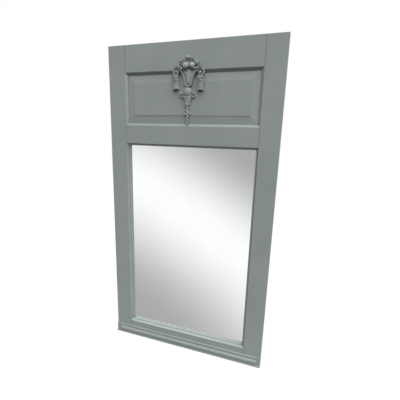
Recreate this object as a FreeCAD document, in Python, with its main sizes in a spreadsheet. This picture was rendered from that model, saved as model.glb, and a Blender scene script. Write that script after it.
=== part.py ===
import FreeCAD, Part
import math
import os
import Sketcher

# Trumeau mirror: a tall painted frame with a fielded panel over a mirror, and a carved trophy.
# Millimetres. X runs to the right, Y to the back, Z up. The origin is at the middle of the foot.
# "Depth" is measured back from the front face of the frame, "proud" is measured forward of it.

Vector = FreeCAD.Vector
doc = FreeCAD.newDocument("TrumeauMirror")

SIZES = [
    # frame
    ("width", 800, "overall width"),
    ("height", 1480, "overall height"),
    ("frame_depth", 34, "thickness of stiles and rails"),
    ("stile_width", 85, "face of a stile"),
    ("top_rail_height", 116, "face of the top rail"),
    ("panel_opening_height", 234, "opening for the fielded panel"),
    ("middle_rail_height", 81, "face of the middle rail"),
    ("bottom_rail_height", 78, "face of the bottom rail, moulding included"),
    ("arris_radius", 2, "rounding of the outer front edges"),
    ("tenon_thickness", 11, "tenons of the rails"),
    ("tenon_length", 60, "tenon beyond the shoulder"),
    ("tenon_shoulder", 14, "rail edge to tenon"),
    ("joint_clearance", 0.15, "glue gap round a tenon"),
    ("peg_radius", 4.2, "riven pegs through the tenons, middle to corner"),
    ("peg_sides", 8, "sides of a peg"),
    ("peg_length", 23, "peg, from the back face"),
    ("peg_setback", 20, "peg axis from the shoulder"),
    # fielded panel
    ("groove_depth", 10, "groove for the panel"),
    ("tongue_thickness", 8, "edge of the panel in its groove"),
    ("panel_play", 1.5, "room for the panel to swell"),
    ("panel_margin", 34, "bevelled margin of the panel"),
    ("field_recess", 4, "field of the panel, below the face"),
    ("field_step", 1.5, "small step at the edge of the field"),
    # mouldings round the openings
    ("panel_moulding_width", 12.5, "sticking round the panel"),
    ("panel_moulding_depth", 9, "sticking round the panel"),
    ("panel_moulding_flat", 2, "little flats beside its round"),
    ("panel_moulding_radius", 40, "its flat round"),
    ("mirror_moulding_width", 10.5, "sticking round the mirror"),
    ("mirror_bevel_width", 5, "bevel beside the face"),
    ("mirror_bevel_depth", 10.5, "bevel beside the face"),
    ("moulding_land", 0.4, "narrow land flush with the face"),
    # mirror and its back
    ("glass_thickness", 4, "mirror glass"),
    ("glass_play", 2, "room round the glass"),
    ("board_thickness", 9, "board behind the mirror"),
    ("rebate_width", 10, "rebate for the board"),
    ("board_play", 0.5, "room round the board"),
    ("pin_side", 2.6, "square pins of the board"),
    ("pin_length", 18, "pins of the board"),
    ("pins_up", 4, "pins along each stile"),
    ("pins_across", 2, "pins along each rail"),
    # base
    ("base_height", 47.5, "moulding, block and lip together"),
    ("lip_height", 6, "thin strip at the foot"),
    ("lip_proud", 12, "strip in front of the face"),
    ("block_width", 21, "end block of the base"),
    ("block_proud", 3.5, "end block in front of the face"),
    ("bead_proud", 8, "top bead of the base moulding"),
    ("bead_height", 5, "top bead of the base moulding"),
    ("neck_proud", 4.5, "neck under the bead"),
    ("neck_height", 9.5, "neck under the bead, with its little cove"),
    ("ovolo_proud", 11, "widest part of the base moulding"),
    ("ovolo_height", 15, "round above the cove"),
    ("cove_proud", 5, "back of the cove"),
    ("cove_height", 7.5, "hollow under the round"),
    # hanging plates
    ("hanger_drop", 190, "keyhole below the top of the frame"),
    ("hanger_inset", 42.5, "keyhole from the outer edge of the stile"),
    ("plate_width", 18, "keyhole plate"),
    ("plate_height", 44, "keyhole plate"),
    ("plate_thickness", 2, "keyhole plate"),
    ("keyhole_radius", 5, "round part of the keyhole"),
    ("keyslot_radius", 2.5, "half the width of its slot"),
    ("keyslot_length", 10, "slot above the round part"),
    ("relief_margin", 2, "room round the keyhole in the wood"),
    ("relief_depth", 10, "hollow behind the plate"),
    ("plate_screw_radius", 1.8, "plate screw shank"),
    ("plate_screw_head_radius", 3.4, "plate screw head"),
    ("plate_screw_head_height", 1.8, "plate screw head"),
    ("plate_screw_length", 20, "plate screw"),
    ("plate_screw_inset", 6, "screw from the end of the plate"),
    # carved trophy
    ("ornament_x", -2, "middle of the trophy from the middle of the frame"),
    ("ornament_proud", 22, "furthest point of the trophy"),
    ("lower_x", -3, "boss, bell and garland from the middle of the trophy"),
    ("fruit_radius", 13, "round fruit"),
    ("fruit_spacing", 30, "between the fruits"),
    ("fruit_rise", 15, "fruits above the opening"),
    ("spray_rise", 12, "root of the leaf spray"),
    ("bud_length", 45, "middle leaf of the spray"),
    ("leaf_length", 42, "leaf of the spray"),
    ("leaf_radius", 8, "half the width of a leaf"),
    ("leaf_pairs", 3, "pairs of side leaves"),
    ("leaf_spread", 29, "degrees from leaf to leaf"),
    ("arm_leaf_length", 38, "leaf over a volute"),
    ("arm_leaf_radius", 5.5, "half the width of that leaf"),
    ("arm_leaf_x", 27, "its root from the middle"),
    ("arm_leaf_rise", 7, "its root above the opening"),
    ("arm_leaf_tilt", 9, "degrees that it rises outward"),
    ("strap_width", 7.2, "band of the shield"),
    ("strap_proud", 9, "band of the shield"),
    ("shield_radius", 17, "foot of the shield, middle of the band"),
    ("shield_drop", 49, "centre of the shield's foot"),
    ("shield_leg", 16.6, "straight leg of the shield"),
    ("flare_radius", 22, "outward flare of the band"),
    ("flare_angle", 60, "degrees of the flare"),
    ("strap_run", 24, "band between flare and volute"),
    ("volute_radius", 12.5, "first turn of the volute"),
    ("volute_step", 1.2, "how much each quarter of the volute closes in"),
    ("eye_radius", 6.6, "ball in the volute"),
    ("eye_proud", 13, "front of that ball"),
    ("plate_proud", 5, "field of the shield"),
    ("plate_lap", 4, "shield field over the top rail"),
    ("knot_radius", 5.5, "lobe of a knot"),
    ("knot_spacing", 11, "between the lobes"),
    ("tassel_radius", 13, "body of a tassel"),
    ("skirt_radius", 14.5, "flared foot of a tassel"),
    ("tassel_length", 46, "tassel"),
    ("tassel_cap", 6, "domed top of a tassel"),
    ("skirt_height", 8, "flared foot of a tassel"),
    ("tassel_proud", 4, "axis of a tassel"),
    ("flute_radius", 1.6, "flutes of a tassel"),
    ("flutes", 14, "flutes round a tassel"),
    ("boss_radius", 18, "round boss"),
    ("boss_height", 16, "round boss over the field"),
    ("boss_drop", 88, "centre of the boss"),
    ("curl_radius", 8.5, "small curl, middle of its band"),
    ("curl_band", 2.8, "half the thickness of its band"),
    ("curl_ball", 4.4, "ball that ends it"),
    ("curl_spacing", 57, "between the curls"),
    ("curl_drop", 101, "centre of a curl"),
    ("curl_turn", 270, "degrees of the ring"),
    ("bell_radius", 16.5, "mouth of the bell"),
    ("bell_waist", 12.5, "lower body of the bell"),
    ("bell_foot", 7.5, "foot of the bell"),
    ("bell_length", 42, "bell"),
    ("bell_drop", 105, "top of the bell"),
    ("garland_gap", 9, "end of the garland above the foot of the opening, at least"),
    ("husk_pitch", 11, "from husk to husk"),
    ("husk_radius", 8.5, "half the width of the top husk"),
    ("husk_neck", 5, "half the width between two husks"),
    ("husk_taper", 0.4, "how much each husk is slimmer than the last"),
    ("berry_radius", 5, "berries beside the garland"),
    ("berry_spacing", 20, "between the berries"),
    ("berry_husk", 3, "husk that carries the berries"),
]

SHEET = "Sizes"


def write_sheet():
    sheet = doc.addObject("Spreadsheet::Sheet", SHEET)
    for row, (alias, value, note) in enumerate(SIZES, start=1):
        sheet.set(f"A{row}", note)
        sheet.set(f"B{row}", str(value))
        sheet.setAlias(f"B{row}", alias)
    doc.recompute()
    return sheet


class Size:
    """A size that carries its formula in the sheet's names along with its present value."""

    def __init__(self, text, value):
        self.text = text
        self.value = float(value)

    def combine(self, other, sign, result):
        other = size_of(other)
        return Size(f"({self.text} {sign} {other.text})", result(self.value, other.value))

    def __add__(self, other):
        return self.combine(other, "+", lambda a, b: a + b)

    def __sub__(self, other):
        return self.combine(other, "-", lambda a, b: a - b)

    def __mul__(self, other):
        return self.combine(other, "*", lambda a, b: a * b)

    def __truediv__(self, other):
        return self.combine(other, "/", lambda a, b: a / b)

    def __rsub__(self, other):
        return size_of(other) - self

    def __neg__(self):
        return self * -1

    __radd__ = __add__
    __rmul__ = __mul__


def size_of(number):
    return number if isinstance(number, Size) else Size(f"{float(number):.6f}", number)


def sine(degrees):
    return Size(f"sin({degrees.text} * 1 deg)", math.sin(math.radians(degrees.value)))


def cosine(degrees):
    return Size(f"cos({degrees.text} * 1 deg)", math.cos(math.radians(degrees.value)))


class Sizes:
    """The sheet's sizes by name."""

    def __init__(self, sheet):
        for alias, value, note in SIZES:
            setattr(self, alias, Size(f"{SHEET}.{alias}", sheet.get(alias)))


size = Sizes(write_sheet())
ZERO = size_of(0)

# Places that several pieces share.
half_width = size.width / 2
opening_x = half_width - size.stile_width
face_y = (size.ornament_proud - size.frame_depth) / 2
middle_y = face_y + size.frame_depth / 2
half_depth = size.frame_depth / 2
panel_top = size.height - size.top_rail_height
panel_foot = panel_top - size.panel_opening_height
mirror_top = panel_foot - size.middle_rail_height
mirror_foot = size.bottom_rail_height
mirror_moulding_depth = size.frame_depth - size.board_thickness - size.glass_thickness
tongue_y = size.panel_moulding_depth - half_depth
board_y = half_depth - size.board_thickness
peg_x = opening_x + size.peg_setback
hanger_x = half_width - size.hanger_inset
hanger_z = size.height - size.hanger_drop
# The cutters overrun what they cut by this much.
overrun = size_of(1)

# Shapes of the run and turned pieces, each a share of the piece's own size that follows it.
HALF_ROUND = 1.02       # of half its width: a half round stays just under half a circle
COVE_SPRING = 0.125     # of the cove: where the little cove under the bead starts
COVE_FALL = 0.5         # of the cove: how far down it runs
OVOLO_BEND = 1.1        # of its height
CAP_FLAT = 0.5          # of the tassel's radius: flat top inside the round of the cap
CAP_BEND = 1.2          # of the cap's height
TASSEL_WAIST = 0.94     # of the tassel's radius: just above the skirt
SKIRT_BEND = 2          # of the skirt's height
FLUTE_START = 1.4       # of the cap's height: down from the top
FLUTE_OUT = 0.3         # of the flute's radius: its axis outside the tassel
BELL_CROWN = 0.5        # of the boss's radius: top of the bell's crown, under the boss
BELL_SHOULDER = 0.2     # of the boss's radius: where the crown turns into the mouth
BELL_SHOULDER_IN = 0.75     # of the mouth's radius
BELL_SHOULDER_BEND = 0.4    # of the mouth's radius
BELL_LIP = 0.12         # of the bell's length: the widest place, from the top
BELL_SIDE_BEND = 2      # of the bell's length
BELL_HEM = 0.7          # of the bell's length: where the hem starts
BELL_COLLAR = 0.93      # of the bell's length: top of the collar
BELL_HEM_BEND = 1.4     # of the foot's radius
BELL_COLLAR_OUT = 1.2   # of the foot's radius
KNOT_NECK = 0.8         # of a lobe's radius
BERRY_DROP = 0.4        # of a husk: berries below the top of theirs
BEHIND_RISE = 1.5       # of the cutter's width: how high it stands


# ---------------------------------------------------------------- drawing helpers

def bind(thing, name, value):
    thing.setExpression(name, size_of(value).text)


def place(thing, x=ZERO, y=ZERO, z=ZERO):
    for axis, value in (("x", x), ("y", y), ("z", z)):
        bind(thing, f"Placement.Base.{axis}", value)


def new_body(name, x=ZERO, y=ZERO, z=ZERO):
    body = doc.addObject("PartDesign::Body", name)
    body.Label = name
    place(body, x, y, z)
    return body


def new_sketch(body, role, name, lift=None):
    """A sketch on one of the body's own planes, lifted along the plane's normal."""
    plane = [item for item in body.Origin.OriginFeatures if item.Role == role][0]
    sketch = body.newObject("Sketcher::SketchObject", f"{body.Name}_{name}")
    sketch.AttachmentSupport = [(plane, "")]
    sketch.MapMode = "FlatFace"
    if lift is not None:
        bind(sketch, "AttachmentOffset.Base.z", lift)
    return sketch


def hold(sketch, geometry, point, x, y):
    """Ties a point of the sketch to its place."""
    for kind, value in (("DistanceX", x), ("DistanceY", y)):
        value = size_of(value)
        index = sketch.addConstraint(Sketcher.Constraint(kind, -1, 1, geometry, point, value.value))
        sketch.setExpression(f"Constraints[{index}]", value.text)


def hold_radius(sketch, geometry, radius):
    radius = size_of(radius)
    index = sketch.addConstraint(Sketcher.Constraint("Radius", geometry, radius.value))
    sketch.setExpression(f"Constraints[{index}]", radius.text)


def flat(point):
    return Vector(size_of(point[0]).value, size_of(point[1]).value, 0)


def add_arc(sketch, start, end, radius, side):
    """An arc from start to end, turning left for side +1 and right for side -1."""
    chord = end - start
    reach = math.sqrt(max(radius ** 2 - (chord.Length / 2) ** 2, 0))
    normal = Vector(-chord.y, chord.x, 0).normalize()
    centre = (start + end) / 2 + normal * reach * side
    first, last = (start, end) if side > 0 else (end, start)
    angles = [math.atan2(point.y - centre.y, point.x - centre.x) for point in (first, last)]
    circle = Part.Circle(centre, Vector(0, 0, 1), radius)
    return sketch.addGeometry(Part.ArcOfCircle(circle, angles[0], angles[1]))


def draw(sketch, points, closed=True):
    """Lines and arcs through the points. A point with a radius and a side starts an arc."""
    count = len(points)
    ends = []
    for number in range(count if closed else count - 1):
        point = points[number]
        start = flat(point)
        end = flat(points[(number + 1) % count])
        if len(point) == 2:
            ends.append((sketch.addGeometry(Part.LineSegment(start, end)), 1, 2))
        else:
            radius, side = point[2:]
            index = add_arc(sketch, start, end, size_of(radius).value, side)
            ends.append((index, 1, 2) if side > 0 else (index, 2, 1))
            hold_radius(sketch, index, radius)
    for this, following in zip(ends, ends[1:] + (ends[:1] if closed else [])):
        sketch.addConstraint(Sketcher.Constraint("Coincident", this[0], this[2],
                                                 following[0], following[1]))
    for point, (geometry, first, last) in zip(points, ends):
        hold(sketch, geometry, first, point[0], point[1])
    if not closed:
        hold(sketch, ends[-1][0], ends[-1][2], points[-1][0], points[-1][1])
    return sketch


def draw_circle(sketch, x, y, radius):
    circle = Part.Circle(flat((x, y)), Vector(0, 0, 1), size_of(radius).value)
    index = sketch.addGeometry(circle)
    hold(sketch, index, 3, x, y)
    hold_radius(sketch, index, radius)
    return sketch


def box_points(x_low, y_low, x_high, y_high):
    return [(x_low, y_low), (x_high, y_low), (x_high, y_high), (x_low, y_high)]


def pad(body, sketch, length, symmetric=False, reverse=False):
    feature = body.newObject("PartDesign::Pad", f"{sketch.Name}_pad")
    feature.Profile = sketch
    bind(feature, "Length", length)
    if symmetric:
        feature.SideType = "Symmetric"
    feature.Reversed = reverse
    doc.recompute()
    return feature


def pocket(body, sketch, depth=None, reverse=False):
    """Cuts to a depth, or right through both ways, and makes sure that it took wood away."""
    before = body.Shape.Volume
    feature = body.newObject("PartDesign::Pocket", f"{sketch.Name}_pocket")
    feature.Profile = sketch
    if depth is None:
        feature.Type = "ThroughAll"
        feature.SideType = "Symmetric"
    else:
        bind(feature, "Length", depth)
        feature.Reversed = reverse
    doc.recompute()
    if body.Shape.Volume > before - 1e-3:
        raise RuntimeError(f"{sketch.Name} cuts nothing")
    return feature


def revolve(body, sketch, axis):
    feature = body.newObject("PartDesign::Revolution", f"{sketch.Name}_turned")
    feature.Profile = sketch
    feature.ReferenceAxis = (sketch, [axis])
    doc.recompute()
    return feature


def sweep(body, profile, spine):
    feature = body.newObject("PartDesign::AdditivePipe", f"{profile.Name}_swept")
    feature.Profile = profile
    feature.Spine = (spine, [])
    doc.recompute()
    return feature


def round_edges(body, radius, wanted):
    """Rounds those edges of the body whose every corner passes the test."""
    tip = body.Tip
    names = []
    for number, edge in enumerate(tip.Shape.Edges, start=1):
        if all(wanted(vertex.Point) for vertex in edge.Vertexes):
            names.append(f"Edge{number}")
    feature = body.newObject("PartDesign::Fillet", f"{body.Name}_rounding")
    feature.Base = (tip, names)
    bind(feature, "Radius", radius)
    doc.recompute()
    return feature


def near(value, target):
    return abs(value - target.value) < 0.01


def primitive(kind, name, x, y, z, **sizes):
    """A Part primitive with its sizes tied to the sheet."""
    thing = doc.addObject(f"Part::{kind}", name)
    for key, value in sizes.items():
        bind(thing, key, value)
    place(thing, x, y, z)
    return thing


def point_back(thing):
    """Turns a cylinder or cone so that its axis points to the front, from the back face in."""
    thing.Placement.Rotation = FreeCAD.Rotation(Vector(1, 0, 0), 90)
    return thing


def group(name, things):
    compound = doc.addObject("Part::Compound", name)
    compound.Label = name
    compound.Links = things
    doc.recompute()
    return compound


def fuse(name, things):
    joined = doc.addObject("Part::MultiFuse", name)
    joined.Label = name
    joined.Shapes = things
    doc.recompute()
    return joined


def cut(name, base, tool):
    result = doc.addObject("Part::Cut", name)
    base.Label = f"{base.Name}_blank"
    result.Label = name
    result.Base = base
    result.Tool = tool
    doc.recompute()
    return result


def mirrored(name, source, x=ZERO):
    """The same piece on the other side of the upright plane at x."""
    twin = doc.addObject("Part::Mirroring", name)
    twin.Label = name
    twin.Source = source
    twin.Normal = Vector(1, 0, 0)
    bind(twin, "Base.x", x)
    doc.recompute()
    return twin


# ---------------------------------------------------------------- frame

def stile_blank():
    """Left stile: x is measured from its inner edge, y from the middle of its thickness."""
    body = new_body("left_stile_blank", -opening_x, middle_y)
    pad(body, draw(new_sketch(body, "XY_Plane", "section"),
                   box_points(-size.stile_width, -half_depth, ZERO, half_depth)), size.height)

    def front_outer(point):
        on_front = near(point.y, -half_depth)
        return on_front and near(point.x, -size.stile_width)

    def front_top(point):
        return near(point.y, -half_depth) and near(point.z, size.height)

    round_edges(body, size.arris_radius, front_outer)
    round_edges(body, size.arris_radius, front_top)
    for name, foot, top in (("bottom", ZERO, size.bottom_rail_height),
                            ("middle", mirror_top, panel_foot), ("top", panel_top, size.height)):
        half = size.tenon_thickness / 2 + size.joint_clearance
        low = foot + size.tenon_shoulder - size.joint_clearance
        high = top - size.tenon_shoulder + size.joint_clearance
        mortise = draw(new_sketch(body, "YZ_Plane", f"{name}_mortise"),
                       box_points(-half, low, half, high))
        pocket(body, mortise, size.tenon_length + size.panel_play)
    groove = draw(new_sketch(body, "YZ_Plane", "groove"),
                  box_points(tongue_y, panel_foot - size.groove_depth,
                             tongue_y + size.tongue_thickness, panel_top + size.groove_depth))
    pocket(body, groove, size.groove_depth)
    rebate = draw(new_sketch(body, "YZ_Plane", "rebate"),
                  box_points(board_y, mirror_foot - size.rebate_width,
                             half_depth + overrun, mirror_top + size.rebate_width))
    pocket(body, rebate, size.rebate_width)
    return body


def rail_blank(name, foot, top):
    """A rail with its two tenons, x and y measured from the middle."""
    body = new_body(f"{name}_blank", ZERO, middle_y)
    board = draw(new_sketch(body, "XZ_Plane", "board"),
                 box_points(-opening_x, foot, opening_x, top))
    pad(body, board, size.frame_depth, symmetric=True)
    end = opening_x + size.tenon_length
    tenons = draw(new_sketch(body, "XZ_Plane", "tenons"),
                  box_points(-end, foot + size.tenon_shoulder, end, top - size.tenon_shoulder))
    pad(body, tenons, size.tenon_thickness, symmetric=True)
    return body


def panel_groove(body, edge, depth):
    """Groove for the panel's tongue, from an edge of a rail into it."""
    groove = draw(new_sketch(body, "YZ_Plane", "groove"),
                  box_points(tongue_y, edge, tongue_y + size.tongue_thickness, edge + depth))
    pocket(body, groove)


def board_rebate(body, edge, width):
    """Rebate for the back board, along an edge of a rail."""
    rebate = draw(new_sketch(body, "YZ_Plane", "rebate"),
                  box_points(board_y, edge, half_depth + overrun, edge + width))
    pocket(body, rebate)


def top_rail_blank():
    body = rail_blank("top_rail", panel_top, size.height)

    def front_top(point):
        return near(point.y, -half_depth) and near(point.z, size.height)

    panel_groove(body, panel_top, size.groove_depth)
    round_edges(body, size.arris_radius, front_top)
    return body


def middle_rail_blank():
    body = rail_blank("middle_rail", mirror_top, panel_foot)
    panel_groove(body, panel_foot, -size.groove_depth)
    board_rebate(body, mirror_top, size.rebate_width)
    return body


def bottom_rail_blank():
    body = rail_blank("bottom_rail", ZERO, mirror_foot)
    board_rebate(body, mirror_foot, -size.rebate_width)
    return body


def raised_panel():
    """Fielded panel: a flat board whose four edges are run past a cutter on the front."""
    body = new_body("raised_panel", ZERO, middle_y)
    reach = size.groove_depth - size.panel_play
    side = opening_x + reach
    foot = panel_foot - reach
    top = panel_top + reach
    outline = draw(new_sketch(body, "XZ_Plane", "outline", lift=-(tongue_y + size.tongue_thickness)),
                   box_points(-side, foot, side, top))
    pad(body, outline, size.tongue_thickness + size.panel_moulding_depth - size.field_recess)
    field_y = size.field_recess - half_depth
    inset = size.panel_moulding_width + size.panel_margin
    for name, edge, inward in (("top", panel_top, -1), ("bottom", panel_foot, 1)):
        cutter = new_sketch(body, "YZ_Plane", f"{name}_bevel")
        draw(cutter, bevel_points(edge, inward, reach, field_y, inset, upright=True))
        pocket(body, cutter)
    for name, edge, inward in (("left", -opening_x, 1), ("right", opening_x, -1)):
        cutter = new_sketch(body, "XY_Plane", f"{name}_bevel")
        draw(cutter, bevel_points(edge, inward, reach, field_y, inset, upright=False))
        pocket(body, cutter)
    return body


def bevel_points(edge, inward, reach, field_y, inset, upright):
    """Section of the wood that is taken off: tongue, sloping margin and a small step."""
    points = [(edge - inward * (reach + overrun), field_y - overrun),
              (edge - inward * (reach + overrun), tongue_y),
              (edge + inward * size.panel_moulding_width, tongue_y),
              (edge + inward * inset, field_y + size.field_step),
              (edge + inward * inset, field_y - overrun)]
    return [(y, across) for across, y in points] if upright else points


# ---------------------------------------------------------------- mouldings of the openings

def strip(name, side, foot, top, width, depth, surface):
    """One mitred strip of an opening: a trapezium, with its section cut along its length."""
    body = new_body(name, ZERO, face_y)
    x = opening_x
    outlines = {
        "bottom": [(-x, foot), (x, foot), (x - width, foot + width), (width - x, foot + width)],
        "top": [(-x, top), (width - x, top - width), (x - width, top - width), (x, top)],
        "right": [(x, foot), (x, top), (x - width, top - width), (x - width, foot + width)],
    }
    outline = draw(new_sketch(body, "XZ_Plane", "outline", lift=-depth), outlines[side])
    pad(body, outline, depth)
    edge, inward = {"bottom": (foot, 1), "top": (top, -1), "right": (x, -1)}[side]
    upright = side != "right"
    section = new_sketch(body, "YZ_Plane" if upright else "XY_Plane", "section")
    points = []
    for across, back, *bend in surface:
        place_across = edge + inward * across
        ends = (back, place_across) if upright else (place_across, back)
        if bend:
            turn = bend[1] * inward * (1 if upright else -1)
            ends = ends + (bend[0], turn)
        points.append(ends)
    pocket(body, draw(section, points))
    return body


def panel_strip(side):
    """Panel sticking: a land, a soft round that falls to a narrow flat, and the foot."""
    width = size.panel_moulding_width
    flat_start = width - size.panel_moulding_flat
    low = size.panel_moulding_depth - size.field_step
    surface = [(size.moulding_land, -overrun),
               (size.moulding_land, ZERO, size.panel_moulding_radius, -1),
               (flat_start, low),
               (width + overrun, low),
               (width + overrun, -overrun)]
    return strip(f"panel_moulding_{side}", side, panel_foot, panel_top, width,
                 size.panel_moulding_depth, surface)


def mirror_strip(side):
    """Mirror sticking: a land, a steep bevel, a flat that faces forward, and the sight edge."""
    width = size.mirror_moulding_width
    bevel_end = size.moulding_land + size.mirror_bevel_width
    low = size.mirror_bevel_depth
    surface = [(size.moulding_land, -overrun),
               (size.moulding_land, ZERO),
               (bevel_end, low),
               (width + overrun, low),
               (width + overrun, -overrun)]
    return strip(f"mirror_moulding_{side}", side, mirror_foot, mirror_top, width,
                 mirror_moulding_depth, surface)


def moulding_set(maker, prefix):
    right = maker("right")
    return [maker("top"), maker("bottom"), right, mirrored(f"{prefix}_left", right)]


# ---------------------------------------------------------------- mirror and back

def sheet_piece(name, side, foot, top, front, thickness):
    body = new_body(name, ZERO, face_y)
    outline = draw(new_sketch(body, "XZ_Plane", "outline", lift=-(front + thickness)),
                   box_points(-side, foot, side, top))
    pad(body, outline, thickness)
    return body


def mirror_glass():
    play = size.glass_play
    return sheet_piece("mirror_glass", opening_x - play, mirror_foot + play, mirror_top - play,
                       mirror_moulding_depth, size.glass_thickness)


def board_edge():
    """How far the back board laps over the frame."""
    return size.rebate_width - size.board_play


def back_board_blank():
    lap = board_edge()
    return sheet_piece("back_board_blank", opening_x + lap, mirror_foot - lap, mirror_top + lap,
                       size.frame_depth - size.board_thickness, size.board_thickness)


def countersunk_screw(name, x, z, radius, head_radius, head_height, length):
    """A screw driven from the back, its head flush."""
    back_y = face_y + size.frame_depth
    shank = point_back(primitive("Cylinder", f"{name}_shank", x, back_y, z,
                                 Radius=radius, Height=length))
    head = point_back(primitive("Cone", f"{name}_head", x, back_y, z,
                                Radius1=head_radius, Radius2=radius, Height=head_height))
    return fuse(name, [shank, head])


def spread(low, high, count):
    """Evenly spaced places between low and high, half a step in from each."""
    return [low + (high - low) * ((2 * number + 1) / (2 * count)) for number in range(count)]


def board_pin(name, x, z):
    """A square pin driven from the back, flush with it."""
    side = size.pin_side
    back_y = face_y + size.frame_depth
    return primitive("Box", name, x - side / 2, back_y - size.pin_length, z - side / 2,
                     Length=side, Width=size.pin_length, Height=side)


def tenon_peg(name, x, z):
    """A riven peg with flat sides, driven from the back through a tenon."""
    back_y = face_y + size.frame_depth
    return point_back(primitive("Prism", name, x, back_y, z, Polygon=size.peg_sides,
                                Circumradius=size.peg_radius, Height=size.peg_length))


def driven(name, maker, places):
    """A set of pins or pegs, numbered."""
    return group(name, [maker(f"{name}_{number}", x, z)
                        for number, (x, z) in enumerate(places, start=1)])


def board_pins():
    lap = size.rebate_width / 2
    places = []
    for z in spread(mirror_foot, mirror_top, int(size.pins_up.value)):
        places += [(-(opening_x + lap), z), (opening_x + lap, z)]
    for x in spread(-opening_x, opening_x, int(size.pins_across.value)):
        places += [(x, mirror_foot - lap), (x, mirror_top + lap)]
    return driven("board_pins", board_pin, places)


def tenon_pegs():
    places = []
    for foot, top in ((ZERO, mirror_foot), (mirror_top, panel_foot), (panel_top, size.height)):
        for z in spread(foot + size.tenon_shoulder, top - size.tenon_shoulder, 2):
            places += [(-peg_x, z), (peg_x, z)]
    return driven("tenon_pegs", tenon_peg, places)


# ---------------------------------------------------------------- hanging plates

def plate_end(direction):
    """Height of the plate's end above the keyhole: it reaches further up than down."""
    return size.plate_height / 2 * direction + size.keyslot_length / 2


def hanger_plate_blank():
    back_y = face_y + size.frame_depth
    body = new_body("hanger_plate_right_blank", hanger_x, back_y, hanger_z)
    half = size.plate_width / 2
    outline = draw(new_sketch(body, "XZ_Plane", "outline"),
                   box_points(-half, plate_end(-1), half, plate_end(1)))
    pad(body, outline, size.plate_thickness)
    hole = draw_circle(new_sketch(body, "XZ_Plane", "keyhole"), ZERO, ZERO, size.keyhole_radius)
    pocket(body, hole)
    half_slot = size.keyslot_radius
    slot = draw(new_sketch(body, "XZ_Plane", "slot"),
                box_points(-half_slot, ZERO, half_slot, size.keyslot_length))
    pocket(body, slot)
    slot_end = draw_circle(new_sketch(body, "XZ_Plane", "slot_end"), ZERO, size.keyslot_length,
                           size.keyslot_radius)
    pocket(body, slot_end)
    return body


def hanger_seat():
    """What is cut out of the stile for a plate: its bed, and a hollow for the screw's head."""
    back_y = face_y + size.frame_depth
    bed = primitive("Box", "hanger_bed", hanger_x - size.plate_width / 2,
                    back_y - size.plate_thickness, hanger_z + plate_end(-1),
                    Length=size.plate_width, Width=size.plate_thickness,
                    Height=size.plate_height)
    room = size.keyhole_radius + size.relief_margin
    hollow = primitive("Box", "hanger_hollow", hanger_x - room, back_y - size.relief_depth,
                       hanger_z - room, Length=room * 2, Width=size.relief_depth,
                       Height=room * 2 + size.keyslot_length - size.relief_margin)
    return fuse("hanger_seat", [bed, hollow])


def hanger_screws():
    screws = []
    for direction in (-1, 1):
        z = hanger_z + plate_end(direction) - size.plate_screw_inset * direction
        for side in (-1, 1):
            screws.append(countersunk_screw(f"plate_screw_{len(screws) + 1}", hanger_x * side, z,
                                            size.plate_screw_radius,
                                            size.plate_screw_head_radius,
                                            size.plate_screw_head_height,
                                            size.plate_screw_length))
    return group("hanger_screws", screws)


# ---------------------------------------------------------------- base

def base_run(name, length, points):
    """A length of moulding with the given section, centred on the frame."""
    body = new_body(name, ZERO, face_y)
    pad(body, draw(new_sketch(body, "YZ_Plane", "section"), points), length, symmetric=True)
    return body


def base_moulding():
    """Bead, neck, round and cove, from the top down."""
    top = size.base_height
    neck_top = top - size.bead_height
    cove_in = size.bead_proud - size.neck_proud
    round_top = neck_top - size.neck_height
    round_foot = round_top - size.ovolo_height
    cove_foot = round_foot - size.cove_height
    half_bead = size.bead_height / 2
    points = [(ZERO, size.lip_height), (ZERO, top),
              (-size.bead_proud + half_bead, top, half_bead * HALF_ROUND, 1),
              (-size.bead_proud + half_bead, neck_top),
              (-size.neck_proud - cove_in * COVE_SPRING, neck_top, cove_in, -1),
              (-size.neck_proud, neck_top - cove_in * COVE_FALL),
              (-size.neck_proud, round_top, size.ovolo_height * OVOLO_BEND, 1),
              (-size.ovolo_proud, round_foot),
              (-size.ovolo_proud + size.field_step, round_foot, size.cove_height, -1),
              (-size.cove_proud, cove_foot),
              (-size.cove_proud, size.lip_height)]
    return base_run("base_moulding", size.width - size.block_width * 2, points)


def base_lip():
    """Thin strip with its two front edges taken off."""
    front = -size.lip_proud
    off = size.moulding_land
    points = [(ZERO, ZERO), (ZERO, size.lip_height), (front + off, size.lip_height),
              (front, size.lip_height - off), (front, off), (front + off, ZERO)]
    return base_run("base_lip", size.width, points)


def base_block():
    body = new_body("base_block_right", half_width - size.block_width, face_y)
    outline = draw(new_sketch(body, "XZ_Plane", "outline"),
                   box_points(ZERO, size.lip_height, size.block_width, size.base_height))
    pad(body, outline, size.block_proud)

    def top_front(point):
        return near(point.y, -size.block_proud) and near(point.z, size.base_height)

    round_edges(body, size.moulding_land, top_front)
    return body


# ---------------------------------------------------------------- carved trophy
# Its own frame: x from the trophy's middle, y from the face of the frame (forward is
# negative), z from the upper edge of the panel opening (down is negative).

def trophy_body(name, x=ZERO, y=ZERO, z=ZERO):
    return new_body(name, size.ornament_x + x, face_y + y, panel_top + z)


def back_block(name, proud):
    """Everything behind a plane, for flattening the back of carved pieces."""
    room = size.width / 2
    return primitive("Box", name, size.ornament_x - room / 2, face_y - proud,
                     panel_top - room, Length=room, Width=size.frame_depth,
                     Height=room * BEHIND_RISE)


def flare_end():
    """Where the band of the shield leaves its flare."""
    x = size.shield_radius + size.flare_radius - size.flare_radius * cosine(size.flare_angle)
    z = size.shield_leg - size.shield_drop + size.flare_radius * sine(size.flare_angle)
    return x, z


def volute_start():
    x, z = flare_end()
    run = size.strap_run
    return x + run * sine(size.flare_angle), z + run * cosine(size.flare_angle)


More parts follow.
